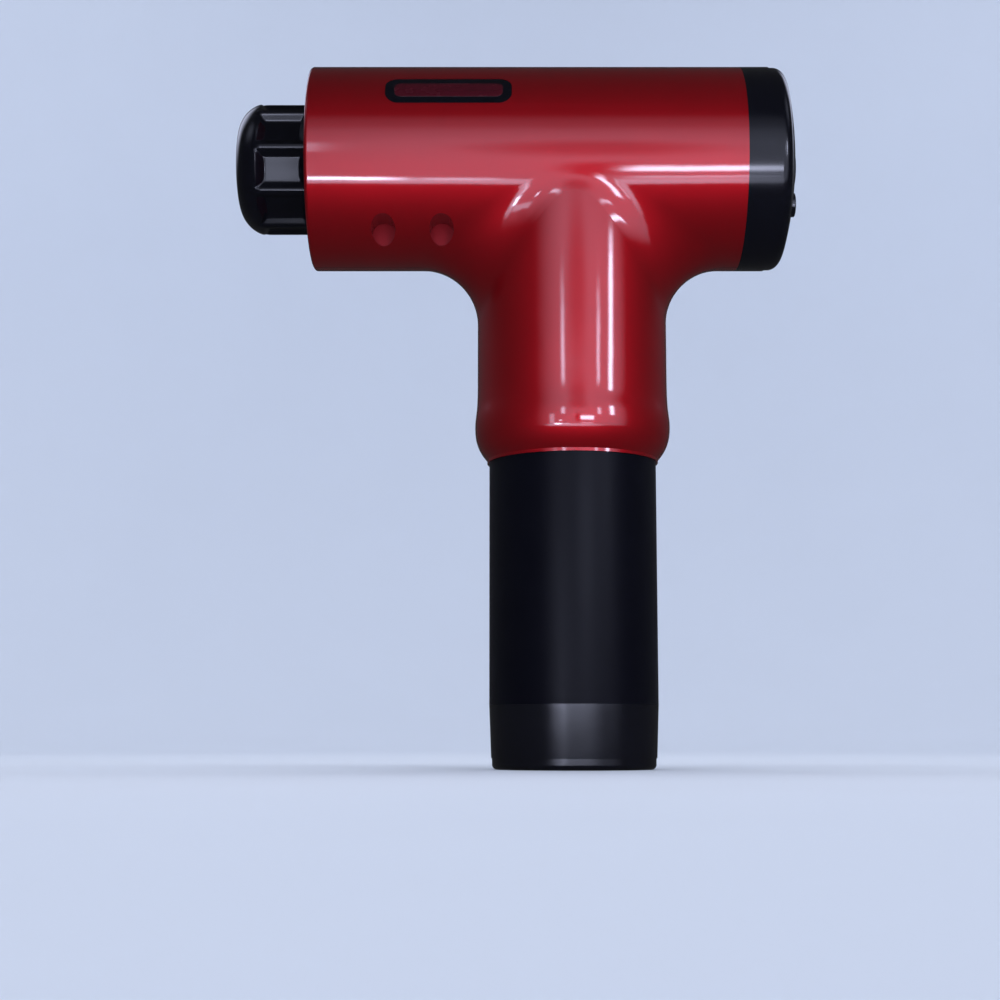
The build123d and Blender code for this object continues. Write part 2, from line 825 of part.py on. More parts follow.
speed_offset = display_radius - speed_inset
speed_spread = speed_offset * sin(radians(speed_angle))
speed_drop = speed_offset * cos(radians(speed_angle))
lamp_offset = display_radius - lamp_inset
button_places = {
    "power_button": (0.0, 0.0, power_radius),
    "speed_up_button": (speed_spread, -speed_drop, speed_radius),
    "speed_down_button": (-speed_spread, -speed_drop, speed_radius),
}
lamp_angles = [90 + lamp_pitch * (i - (lamp_count - 1) / 2) for i in range(lamp_count)]
lamp_places = [
    (lamp_offset * cos(radians(angle)), lamp_offset * sin(radians(angle))) for angle in lamp_angles
]

with BuildPart() as rear_ring:
    with BuildSketch(across(barrel_rear)):
        Circle(barrel_radius)
    extrude(amount=ring_length)
    with BuildSketch(across(barrel_rear + ring_web)):
        Circle(ring_bore)
    extrude(amount=ring_length, mode=Mode.SUBTRACT)
    with BuildSketch(across(barrel_rear + ring_web)):
        with PolarLocations(post_offset, 4):
            Circle(post_radius)
    extrude(amount=post_height)
    with BuildSketch(across(barrel_rear)):
        Circle(cable_hole)
        with PolarLocations(ring_screw_radius, 4, start_angle=45):
            Circle(screw_hole)
    extrude(amount=ring_web, mode=Mode.SUBTRACT)
save(rear_ring, "rear_ring")

with BuildPart() as ring_screws:
    for turn in range(4):
        angle = radians(45 + 90 * turn)
        centre = (
            barrel_rear + ring_web,
            ring_screw_radius * cos(angle),
            barrel_height + ring_screw_radius * sin(angle),
        )
        place = Plane(origin=centre, x_dir=(0, 1, 0), z_dir=(1, 0, 0))
        add(place.location * screw(ring_web + ring_screw_depth - loose, small_head_radius))
save(ring_screws, "ring_screws")

with BuildPart() as rear_dome:
    with BuildSketch(barrel_side):
        with BuildLine():
            Polyline(
                (dome_at(0, dome_inner), 0),
                (dome_at(0), 0),
            )
            RadiusArc((dome_at(0), 0), (dome_base, dome_radius), -dome_curve)
            Polyline(
                (dome_base, dome_radius),
                (ring_rear, dome_radius),
                (ring_rear, ring_bore - fit),
                (ring_rear - dome_lip, ring_bore - fit),
                (ring_rear - dome_lip, ring_bore - fit - dome_wall),
                (dome_at(ring_bore - dome_wall, dome_inner), ring_bore - fit - dome_wall),
            )
            RadiusArc(
                (dome_at(ring_bore - dome_wall, dome_inner), ring_bore - fit - dome_wall),
                (dome_at(0, dome_inner), 0),
                dome_inner,
            )
        make_face()
    revolve(axis=barrel_axis)
    rim_edge = rear_dome.edges().filter_by_position(Axis.X, dome_base - fit, dome_base + fit)
    fillet(rim_edge.sort_by(SortBy.LENGTH)[-1], radius=dome_round)
    with BuildSketch(across(display_front)):
        for y, z, radius in button_places.values():
            with Locations((y, z)):
                Circle(radius + gap)
        with Locations(*lamp_places):
            Circle(lamp_radius + fit)
    extrude(amount=2 * ring_length, mode=Mode.SUBTRACT)
save(rear_dome, "rear_dome")

with BuildPart() as display_board:
    with BuildSketch(across(display_x)):
        Circle(display_radius)
    extrude(amount=board_thickness)
save(display_board, "display_board")

with BuildPart() as button_switches:
    for y, z, radius in button_places.values():
        with BuildSketch(across(display_front)):
            with Locations((y, z)):
                Rectangle(switch_size, switch_size)
        extrude(amount=switch_height)
save(button_switches, "button_switches")

# Each button has a slightly domed cap, a flange behind the dome and a stem to its switch.
for name, (y, z, radius) in button_places.items():
    reach = sqrt(y**2 + z**2)
    cap_face = dome_at(reach) + button_stand
    flange_face = dome_at(reach + radius + button_flange, dome_inner) - gap
    stem_end = display_front + switch_height + button_travel + gap
    with BuildPart() as button:
        with BuildSketch(across(flange_face - loose)):
            with Locations((y, z)):
                Circle(radius)
        extrude(amount=cap_face - flange_face + loose)
        fillet(button.edges().group_by(Axis.X)[-1], radius=button_stand / 2)
        with BuildSketch(across(flange_face - loose)):
            with Locations((y, z)):
                Circle(radius + button_flange)
        extrude(amount=loose)
        with BuildSketch(across(stem_end)):
            with Locations((y, z)):
                Circle(switch_size / 4)
        extrude(amount=flange_face - stem_end)
    save(button, name)

with BuildPart() as speed_lamps:
    for y, z in lamp_places:
        with BuildSketch(across(display_front)):
            with Locations((y, z)):
                Circle(lamp_radius)
        extrude(amount=dome_at(lamp_offset + lamp_radius) - display_front)
save(speed_lamps, "speed_lamps")


# ---- Handle ---------------------------------------------------------------------------

tube_bottom_edge = cap_top - 3 * rib_width
ledge_height = 2.0
ledge_width = 3.0
holder_bottom = cap_top + ledge_height
holder_web = 2.0
holder_height = 8.0
cell_bottom = holder_bottom + holder_web
cell_top = cell_bottom + cell_length
cell_offset = 2 * cell_radius / sqrt(3) + fit
cell_angle = 60
cell_window = 15.5

with BuildPart() as handle_tube:
    with BuildSketch(Plane.XY.offset(tube_bottom_edge)):
        Circle(tube_radius)
    extrude(amount=collar_top - tube_bottom_edge)
    with BuildSketch(Plane.XY.offset(groove_bottom + fit)):
        Circle(flange_radius)
    extrude(amount=flange_height - 2 * fit)
    with BuildSketch(Plane.XY.offset(tube_bottom_edge)):
        Circle(tube_bore)
    extrude(amount=collar_top - tube_bottom_edge, mode=Mode.SUBTRACT)
    with BuildSketch(Plane.XY.offset(cap_top)):
        Circle(tube_bore + fit)
        Circle(tube_bore - ledge_width, mode=Mode.SUBTRACT)
    extrude(amount=ledge_height)
save(handle_tube, "handle_tube")

with BuildPart() as grip_sleeve:
    with BuildSketch(Plane.XY.offset(cap_top)):
        Circle(grip_radius)
        Circle(tube_radius + fit, mode=Mode.SUBTRACT)
    extrude(amount=grip_top - cap_top)
save(grip_sleeve, "grip_sleeve")

base_screw_inset = 3.1
base_rib_width = 4.0
recess_radius = cap_base_radius - base_step - foot_width
base_boss_offset = recess_radius - base_screw_inset
base_boss_radius = 3.2
base_screw_length = 9.0
base_spigot = cap_base_radius - cap_wall - fit
web_bottom = recess_depth
web_top = recess_depth + base_web
base_boss_top = tube_bottom_edge - fit

with BuildPart() as end_cap:
    with BuildSketch(Plane.XZ):
        with BuildLine():
            Polyline(
                (cap_base_radius - cap_wall, base_height),
                (cap_base_radius, base_height),
                (grip_radius, cap_top),
                (tube_radius + fit, cap_top),
                (tube_radius + fit, tube_bottom_edge),
                (cap_base_radius - cap_wall, tube_bottom_edge),
                close=True,
            )
        make_face()
    revolve(axis=Axis.Z)
    with BuildSketch(Plane.XY.offset(web_top)):
        for boss in range(3):
            with Locations(Rotation(0, 0, 60 + 120 * boss)):
                with Locations((base_boss_offset, 0)):
                    Circle(base_boss_radius)
                with Locations(((base_boss_offset + cap_base_radius) / 2 - loose, 0)):
                    Rectangle(cap_base_radius - base_boss_offset - loose, rib_width)
    extrude(amount=base_boss_top - web_top)
    with BuildSketch(Plane.XY.offset(web_top)):
        with PolarLocations(base_boss_offset, 3, start_angle=60):
            Circle(screw_hole)
    extrude(amount=base_screw_length - base_web, mode=Mode.SUBTRACT)
save(end_cap, "end_cap")

rocker_x = 10.0
rocker_width = 12.0
rocker_length = 17.0
bezel_margin = 2.0
bezel_thickness = 1.0
switch_body_height = 11.0
jack_x = -8.5
jack_radius = 4.5
jack_opening = 2.9
jack_pin_radius = 1.05
jack_height = 11.0
jack_pin_top = 9.5
lamp_x = -5.0
lamp_y = 13.0
base_lamp_radius = 1.5

with BuildPart() as base_plate:
    with BuildSketch(Plane.XY):
        Circle(cap_base_radius - base_step)
    extrude(amount=base_height)
    fillet(base_plate.edges().group_by(Axis.Z)[0], radius=base_edge)
    with BuildSketch(Plane.XY.offset(base_height)):
        Circle(base_spigot)
    extrude(amount=web_top - base_height)
    with BuildSketch(Plane.XY):
        Circle(recess_radius)
        Rectangle(base_rib_width, 2 * recess_radius, mode=Mode.SUBTRACT)
    extrude(amount=recess_depth, mode=Mode.SUBTRACT)
    with BuildSketch(Plane.XY):
        with Locations((rocker_x, 0)):
            Rectangle(rocker_width + 2 * fit, rocker_length + 2 * fit)
        with Locations((jack_x, 0)):
            Circle(jack_radius + fit)
        with Locations((lamp_x, lamp_y)):
            Circle(base_lamp_radius + fit)
        with PolarLocations(base_boss_offset, 3, start_angle=60):
            Circle(screw_hole)
    extrude(amount=web_top, mode=Mode.SUBTRACT)
save(base_plate, "base_plate")

with BuildPart() as base_screws:
    for turn in range(3):
        angle = radians(60 + 120 * turn)
        centre = (base_boss_offset * cos(angle), base_boss_offset * sin(angle), web_bottom)
        place = Plane(origin=centre, x_dir=(1, 0, 0), z_dir=(0, 0, -1))
        add(place.location * screw(base_screw_length - loose, small_head_radius))
save(base_screws, "base_screws")

# The switch's case clips into the base, with a frame round its rocker.
rocker_pivot_z = web_top
rocker_swing = 8.0
rocker_pin_radius = 1.0
rocker_half = (rocker_length - 2 * bezel_margin) / 2
rocker_axis = Plane(origin=(rocker_x, 0, rocker_pivot_z), x_dir=(0, 1, 0), z_dir=(1, 0, 0))

with BuildPart() as switch_case:
    with BuildSketch(Plane.XY.offset(web_bottom - bezel_thickness)):
        with Locations((rocker_x, 0)):
            RectangleRounded(rocker_width + bezel_margin, rocker_length + bezel_margin, loose)
    extrude(amount=bezel_thickness)
    with BuildSketch(Plane.XY.offset(web_bottom)):
        with Locations((rocker_x, 0)):
            Rectangle(rocker_width, rocker_length)
    extrude(amount=switch_body_height)
    with BuildSketch(Plane.XY.offset(web_bottom - bezel_thickness)):
        with Locations((rocker_x, 0)):
            Rectangle(rocker_width - 2 * loose, 2 * rocker_half + 2 * gap)
    extrude(amount=switch_body_height - bezel_margin, mode=Mode.SUBTRACT)
    with BuildSketch(rocker_axis):
        Circle(rocker_pin_radius + fit)
    extrude(amount=rocker_width / 2, both=True, mode=Mode.SUBTRACT)
save(switch_case, "switch_case")

# The rocker is modelled pressed to one side, off, and swings to the other.
with BuildPart() as power_rocker:
    with BuildSketch(rocker_axis.rotated((rocker_swing, 0, 0))):
        with BuildLine():
            Polyline(
                (-rocker_half + loose, 0),
                (-rocker_half + gap, -2 * loose),
            )
            SagittaArc((-rocker_half + gap, -2 * loose), (rocker_half - gap, -2 * loose), -loose)
            Polyline(
                (rocker_half - gap, -2 * loose),
                (rocker_half - loose, 0),
                (0, 2 * loose),
                (-rocker_half + loose, 0),
            )
        make_face()
    extrude(amount=rocker_width / 2 - loose - gap, both=True)
    with BuildSketch(rocker_axis):
        Circle(rocker_pin_radius)
    extrude(amount=rocker_width / 2 - gap, both=True)
save(power_rocker, "power_rocker")

with BuildPart() as charge_jack:
    with BuildSketch(Plane.XY.offset(web_bottom)):
        with Locations((jack_x, 0)):
            Circle(jack_radius)
    extrude(amount=jack_height)
    with BuildSketch(Plane.XY.offset(web_top)):
        with Locations((jack_x, 0)):
            Circle(jack_radius + loose)
    extrude(amount=loose)
    with BuildSketch(Plane.XY.offset(web_bottom)):
        with Locations((jack_x, 0)):
            Circle(jack_opening)
            Circle(jack_pin_radius, mode=Mode.SUBTRACT)
    extrude(amount=jack_pin_top, mode=Mode.SUBTRACT)
save(charge_jack, "charge_jack")

with BuildPart() as charge_lamp:
    with BuildSketch(Plane.XY.offset(web_bottom)):
        with Locations((lamp_x, lamp_y)):
            Circle(base_lamp_radius)
    extrude(amount=base_web)
    with BuildSketch(Plane.XY.offset(web_top)):
        with Locations((lamp_x, lamp_y)):
            Circle(base_lamp_radius + loose)
    extrude(amount=loose)
save(charge_lamp, "charge_lamp")


# ---- Battery and control board --------------------------------------------------------

with BuildPart() as battery_cells:
    with BuildSketch(Plane.XY.offset(cell_bottom)):
        with PolarLocations(cell_offset, 3, start_angle=cell_angle):
            Circle(cell_radius)
    extrude(amount=cell_length)
save(battery_cells, "battery_cells")

holders = (
    ("lower_cell_holder", holder_bottom, 1),
    ("upper_cell_holder", cell_top + holder_web, -1),
)
for name, outer_face, way in holders:
    with BuildPart() as holder:
        with BuildSketch(Plane.XY.offset(outer_face)):
            Circle(tube_bore - gap)
            Circle(cell_window, mode=Mode.SUBTRACT)
        extrude(amount=way * holder_web)
        with BuildSketch(Plane.XY.offset(outer_face + way * holder_web)):
            Circle(tube_bore - gap)
            with PolarLocations(cell_offset, 3, start_angle=cell_angle):
                Circle(cell_radius + fit, mode=Mode.SUBTRACT)
            Circle(cell_offset, mode=Mode.SUBTRACT)
        extrude(amount=way * holder_height)
    save(holder, name)

strip_thickness = 0.4
strip_width = 7.0


def cell_centre(angle):
    return (cell_offset * cos(radians(angle)), cell_offset * sin(radians(angle)))


with BuildPart() as cell_strips:
    for bottom, first in ((cell_bottom - strip_thickness, 0), (cell_top, 1)):
        start = cell_angle + 120 * first
        with BuildSketch(Plane.XY.offset(bottom)):
            with BuildLine():
                Line(cell_centre(start), cell_centre(start + 120))
            trace(line_width=strip_width)
        extrude(amount=strip_thickness)
save(cell_strips, "cell_strips")

battery_board_bottom = cell_top + holder_web

with BuildPart() as battery_board:
    with BuildSketch(Plane.XY.offset(battery_board_bottom)):
        Circle(tube_bore - gap)
    extrude(amount=board_thickness)
save(battery_board, "battery_board")

with BuildPart() as control_board:
    with BuildSketch(Plane.XY.offset(main_board_height)):
        Circle(board_radius)
    extrude(amount=board_thickness)
save(control_board, "control_board")

# Capacitors, power transistors and the chip, on the board's underside.
part_height = 4.0
capacitor_height = 12.0
capacitor_radius = 4.0
chip_size = 7.0
transistor_size = 5.0

with BuildPart() as board_components:
    with BuildSketch(Plane.XY.offset(main_board_height)):
        with Locations((-capacitor_height, 0)):
            Rectangle(chip_size, chip_size)
        with GridLocations(2 * transistor_size, 2 * transistor_size, 2, 3):
            Rectangle(transistor_size, transistor_size)
    extrude(amount=-part_height / 2)
    with BuildSketch(Plane.XY.offset(main_board_height)):
        with Locations((chip_size + capacitor_height, 0)):
            Circle(capacitor_radius)
        with Locations((0, -chip_size - capacitor_height)):
            Circle(capacitor_radius)
    extrude(amount=-capacitor_height)
save(board_components, "board_components")


# ---- Wiring ---------------------------------------------------------------------------

lead_radius = 0.8
cable_radius = 1.2
lead_gap = 1.4
plug_height = 5.0
plug_depth = 3.4
plug_width = 11.0
lead_offset = board_radius - 2 * loose
battery_lead_x = -14.0
battery_lead_y = 10.0
display_cable_y = -8.0
board_top = main_board_height + board_thickness

with BuildPart() as motor_plug:
    with BuildSketch(Plane.XY.offset(frame_bottom)):
        with Locations((lead_offset, 0)):
            Rectangle(plug_depth, plug_width)
    extrude(amount=-plug_height)
save(motor_plug, "motor_plug")

with BuildPart() as motor_leads:
    with BuildSketch(Plane.XY.offset(board_top)):
        with Locations((lead_offset, 0)):
            with GridLocations(1, 2 * lead_radius + lead_gap, 1, 3):
                Circle(lead_radius)
    extrude(amount=frame_bottom - plug_height - board_top)
save(motor_leads, "motor_leads")

with BuildPart() as battery_leads:
    with BuildSketch(Plane.XY.offset(battery_board_bottom + board_thickness)):
        with Locations((battery_lead_x, -battery_lead_y), (battery_lead_x, battery_lead_y)):
            Circle(cable_radius)
    extrude(amount=main_board_height - battery_board_bottom - board_thickness)
save(battery_leads, "battery_leads")


def bend_radii(points):
    """The largest bend at each corner of a route that its two runs leave room for."""
    bend_share = 0.45
    radii = []
    for before, corner, after in zip(points, points[1:], points[2:]):
        arrive = Vector(corner) - Vector(before)
        leave = Vector(after) - Vector(corner)
        half_turn = radians(arrive.get_angle(leave)) / 2
        shorter = min(arrive.length, leave.length)
        radii.append(bend_share * shorter * cos(half_turn) / sin(half_turn))
    return radii


# From the display board, behind the crank and down past the motor to the control board.
cable_offset = neck_bore - 2 * loose - cable_radius - gap
cable_x = sqrt(cable_offset**2 - display_cable_y**2)
frame_clear_x = frame_rear + 2 * cable_radius
display_route = [
    (display_x, display_cable_y, crank_top),
    ((display_x + frame_rear) / 2, display_cable_y, crank_top),
    (frame_clear_x, display_cable_y, frame_bottom + loose),
    (cable_x, display_cable_y, barrel_height - barrel_bore),
    (cable_x, display_cable_y, board_top),
]

with BuildPart() as display_cable:
    with BuildLine() as path:
        FilletPolyline(*display_route, radius=bend_radii(display_route))
    with BuildSketch(Plane(origin=display_route[0], z_dir=path.line % 0)):
        Circle(cable_radius)
    sweep()
save(display_cable, "display_cable")
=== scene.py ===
import bpy
import bmesh
import math
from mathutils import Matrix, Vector


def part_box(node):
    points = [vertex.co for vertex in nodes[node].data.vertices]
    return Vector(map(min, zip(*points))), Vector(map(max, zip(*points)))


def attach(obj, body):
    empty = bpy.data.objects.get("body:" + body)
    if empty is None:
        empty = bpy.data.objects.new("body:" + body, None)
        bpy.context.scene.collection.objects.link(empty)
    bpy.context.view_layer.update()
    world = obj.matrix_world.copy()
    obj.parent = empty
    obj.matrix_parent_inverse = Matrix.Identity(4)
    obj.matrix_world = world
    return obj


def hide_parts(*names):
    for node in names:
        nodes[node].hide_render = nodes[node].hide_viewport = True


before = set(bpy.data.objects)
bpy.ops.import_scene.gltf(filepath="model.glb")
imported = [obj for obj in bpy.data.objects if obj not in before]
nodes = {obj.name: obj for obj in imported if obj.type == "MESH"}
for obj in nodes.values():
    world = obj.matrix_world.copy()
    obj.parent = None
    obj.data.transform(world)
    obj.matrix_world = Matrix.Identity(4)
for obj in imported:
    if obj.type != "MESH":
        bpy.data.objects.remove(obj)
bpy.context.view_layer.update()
scene = bpy.context.scene
print("massage gun: frame loaded,", len(nodes), "nodes")


cameraLook = {
    "place": (-0.024, -0.58, 0.009),   # low, level with the base
    "aim": (-0.024, 0.0, 0.088),       # a little up, at the middle of the grip
    "lens": 63.8,                      # mm on a 36 mm sensor
}
cameraData = bpy.data.cameras.new("camera")
cameraData.lens = cameraLook["lens"]
cameraData.sensor_width = 36.0
camera = bpy.data.objects.new("camera", cameraData)
scene.collection.objects.link(camera)
camera.location = cameraLook["place"]
camera.rotation_mode = "QUATERNION"
lookAlong = Vector(cameraLook["aim"]) - Vector(cameraLook["place"])
camera.rotation_quaternion = lookAlong.to_track_quat("-Z", "Y")
cameraData.clip_start = 0.01
cameraData.clip_end = 50.0
scene.camera = camera
print("camera placed")


def metres(millimetres):
    # sizes of finishes and marks are written in mm, and the scene is in metres
    return millimetres / 1000


def fromHex(value, alpha=1.0):
    # sRGB hex to the linear colour that shaders take
    parts = [int(value[i:i + 2], 16) / 255 for i in (1, 3, 5)]
    return tuple(c / 12.92 if c <= 0.04045 else ((c + 0.055) / 1.055) ** 2.4 for c in parts) + (alpha,)


def addNode(tree, kind, values=None, links=None, **settings):
    # one node with its settings, socket values and incoming links; a link from a node takes its first output
    node = tree.nodes.new(kind)
    for name, value in settings.items():
        setattr(node, name, value)
    for socket, value in (values or {}).items():
        node.inputs[socket].default_value = value
    for socket, source in (links or {}).items():
        output = source.outputs[0] if isinstance(source, bpy.types.Node) else source
        tree.links.new(output, node.inputs[socket])
    return node


def newFinish(name, values):
    # an empty material with its shader and the piece's own coordinates in metres
    finish = bpy.data.materials.new(name)
    finish.use_nodes = True
    tree = finish.node_tree
    tree.nodes.clear()
    shader = addNode(tree, "ShaderNodeBsdfPrincipled", values)
    addNode(tree, "ShaderNodeOutputMaterial", links={"Surface": shader.outputs["BSDF"]})
    place = addNode(tree, "ShaderNodeTexCoord").outputs["Object"]
    finish.diffuse_color = values.get("Base Color", (0.5, 0.5, 0.5, 1.0))
    return finish, tree, shader, place


def perMetre(millimetres):
    # noise scale that gives one cell this wide
    return 1000.0 / millimetres


def tintBetween(tree, share, look):
    # the finish's colour where the share is 0, and its shade where it is 1
    tint = addNode(tree, "ShaderNodeMix", links={"Factor": share}, data_type="RGBA")
    tint.inputs["A"].default_value = fromHex(look["colour"])
    tint.inputs["B"].default_value = fromHex(look["shade"])
    return tint.outputs["Result"]


def roughBetween(tree, share, look):
    # the finish's roughness, spread evenly about its middle
    middleRough, halfSpread = look["rough"], look["roughSpread"] / 2
    ends = {"To Min": middleRough - halfSpread, "To Max": middleRough + halfSpread}
    return addNode(tree, "ShaderNodeMapRange", ends, {"Value": share}).outputs["Result"]


# plastics, rubbers and inks: colours, gloss, and in mm the width and depth of patches, waviness and grain
mouldings = {
    # sprayed red lacquer with fine metal flake under a clear coat: deep where it turns away, satin red
    # where it faces the light, and sharp streaks in the clear coat, with a faint slow waviness
    "redFlakeLacquer": dict(
        colour="#A00A15", shade="#920812", rough=0.52, roughSpread=0.05,
        specular=0.1, metal=0.8, coat=1.0, coatRough=0.075,
        patch=26.0, wave=9.0, waveDepth=0.030, grain=0.35, grainDepth=0.0012),
    # the plugs at the foot of the screw wells: a dull red, darker than the lacquer so as to paint the shade
    # that falls in the wells
    "redPlugPaintedShade": dict(
        colour="#760A13", shade="#6A0910", rough=0.50, roughSpread=0.06,
        specular=0.10,
        patch=5.0, wave=3.0, waveDepth=0.010, grain=0.4, grainDepth=0.008),
    # black from a polished steel mould: nearly a dark mirror with soft flow marks
    "blackAbsPolished": dict(
        colour="#07070B", shade="#0A0A0F", rough=0.17, roughSpread=0.05,
        specular=0.22, coat=0.16, coatRough=0.06,
        patch=18.0, wave=8.0, waveDepth=0.020, grain=0.35, grainDepth=0.0010),
    # spark-eroded mould: a fine even sparkle that spreads the highlights
    "blackAbsSatin": dict(
        colour="#07070C", shade="#0A0A10", rough=0.19, roughSpread=0.05,
        specular=0.60,
        patch=15.0, wave=7.0, waveDepth=0.010, grain=0.45, grainDepth=0.010),
    # silicone over the grip: matt, slightly blue, with the velvety bloom of moulded rubber
    "blackSiliconeMatt": dict(
        colour="#040409", shade="#07070D", rough=0.36, roughSpread=0.06,
        specular=0.060, sheen=0.02,
        patch=11.0, wave=6.0, waveDepth=0.012, grain=0.5, grainDepth=0.018),
    # dense isolating rubber with a dusty skin
    "isolatorRubber": dict(
        colour="#1A1A1B", shade="#262627", rough=0.74, roughSpread=0.1,
        specular=0.3,
        patch=5.0, wave=3.0, waveDepth=0.010, grain=0.4, grainDepth=0.030),
    # injection moulded polypropylene: waxy, with a slightly greasy sheen
    "holderPolypropylene": dict(
        colour="#1B1B1E", shade="#242428", rough=0.46, roughSpread=0.08,
        specular=0.42,
        patch=9.0, wave=4.0, waveDepth=0.015, grain=0.5, grainDepth=0.010),
    # undyed nylon: milky, a little translucent at its edges
    "naturalNylon": dict(
        colour="#D9D3C0", shade="#CBC3AC", rough=0.42, roughSpread=0.07,
        specular=0.45,
        patch=4.0, wave=3.0, waveDepth=0.012, grain=0.4, grainDepth=0.010),
    # transfer-moulded epoxy of chips and switches: dull, with fine pits
    "epoxyMoulded": dict(
        colour="#1D1C1C", shade="#292827", rough=0.66, roughSpread=0.1,
        specular=0.4,
        patch=3.0, wave=2.0, waveDepth=0.006, grain=0.25, grainDepth=0.020),
    # extruded PVC insulation: smooth along its length, a soft red
    "pvcExtruded": dict(
        colour="#8C1A18", shade="#761412", rough=0.38, roughSpread=0.06,
        specular=0.45,
        patch=8.0, wave=3.0, waveDepth=0.010, grain=0.4, grainDepth=0.006),
    # tinted lacquer filling the badge: dark red, level, slightly cloudy
    "badgeLacquer": dict(
        colour="#33070F", shade="#3D0C15", rough=0.27, roughSpread=0.06,
        specular=0.2, coat=0.2, coatRough=0.08,
        patch=6.0, wave=5.0, waveDepth=0.012, grain=0.3, grainDepth=0.004),
}


markEdge = 0.03   # mm on either side of a mark's edge over which it fades


def markMask(tree, place, ink):
    # 1 on the marks and 0 off them: bars and rings in mm about a point on the face, looking along one axis
    apart = addNode(tree, "ShaderNodeSeparateXYZ", links={"Vector": place})
    over = None
    for mark in ink["marks"]:
        offsets = []   # how far across and up from the mark's middle
        for axis, faceMiddle, shift in zip(ink["axes"], ink["centre"], mark["at"]):
            offsets.append(addNode(tree, "ShaderNodeMath", {1: faceMiddle + metres(shift)},
                                   {0: apart.outputs[axis]}, operation="SUBTRACT"))
        if "bar" in mark:
            rims = []
            for offset, length in zip(offsets, mark["bar"]):
                span = addNode(tree, "ShaderNodeMath", links={0: offset}, operation="ABSOLUTE")
                rims.append(addNode(tree, "ShaderNodeMath", {1: metres(length) / 2}, {0: span},
                                    operation="SUBTRACT"))
            outside = addNode(tree, "ShaderNodeMath", links={0: rims[0], 1: rims[1]}, operation="MAXIMUM")
        else:
            squares = [addNode(tree, "ShaderNodeMath", links={0: offset, 1: offset}, operation="MULTIPLY")
                       for offset in offsets]
            total = addNode(tree, "ShaderNodeMath", links={0: squares[0], 1: squares[1]}, operation="ADD")
            reach = addNode(tree, "ShaderNodeMath", links={0: total}, operation="SQRT")
            fromRing = addNode(tree, "ShaderNodeMath", {1: metres(mark["ring"])}, {0: reach},
                               operation="SUBTRACT")
            offRing = addNode(tree, "ShaderNodeMath", links={0: fromRing}, operation="ABSOLUTE")
            outside = addNode(tree, "ShaderNodeMath", {1: metres(mark["stroke"]) / 2}, {0: offRing},
                              operation="SUBTRACT")
        if "open" in mark:
            # the ring is left open at the top, round the bar
            span = addNode(tree, "ShaderNodeMath", links={0: offsets[0]}, operation="ABSOLUTE")
            nearGap = addNode(tree, "ShaderNodeMath", {0: metres(mark["open"]) / 2}, {1: span},
                              operation="SUBTRACT")
            gap = addNode(tree, "ShaderNodeMath", links={0: nearGap, 1: offsets[1]}, operation="MINIMUM")
            outside = addNode(tree, "ShaderNodeMath", links={0: outside, 1: gap}, operation="MAXIMUM")
        over = outside if over is None else addNode(tree, "ShaderNodeMath", links={0: over, 1: outside},
                                                    operation="MINIMUM")
    edge = addNode(tree, "ShaderNodeMapRange", {"From Min": metres(markEdge), "From Max": -metres(markEdge)},
                   {"Value": over})
    return edge.outputs["Result"]


# the line where the housing's halves meet on the middle plane: its half widths and depth in mm
partingLook = {"colour": "#2A0408", "inner": 0.08, "outer": 0.22, "depth": 0.15, "strength": 0.8}
plasticIor, clearCoatIor, bloomRough = 1.53, 1.55, 0.45   # bloom: the velvety skin of moulded rubber


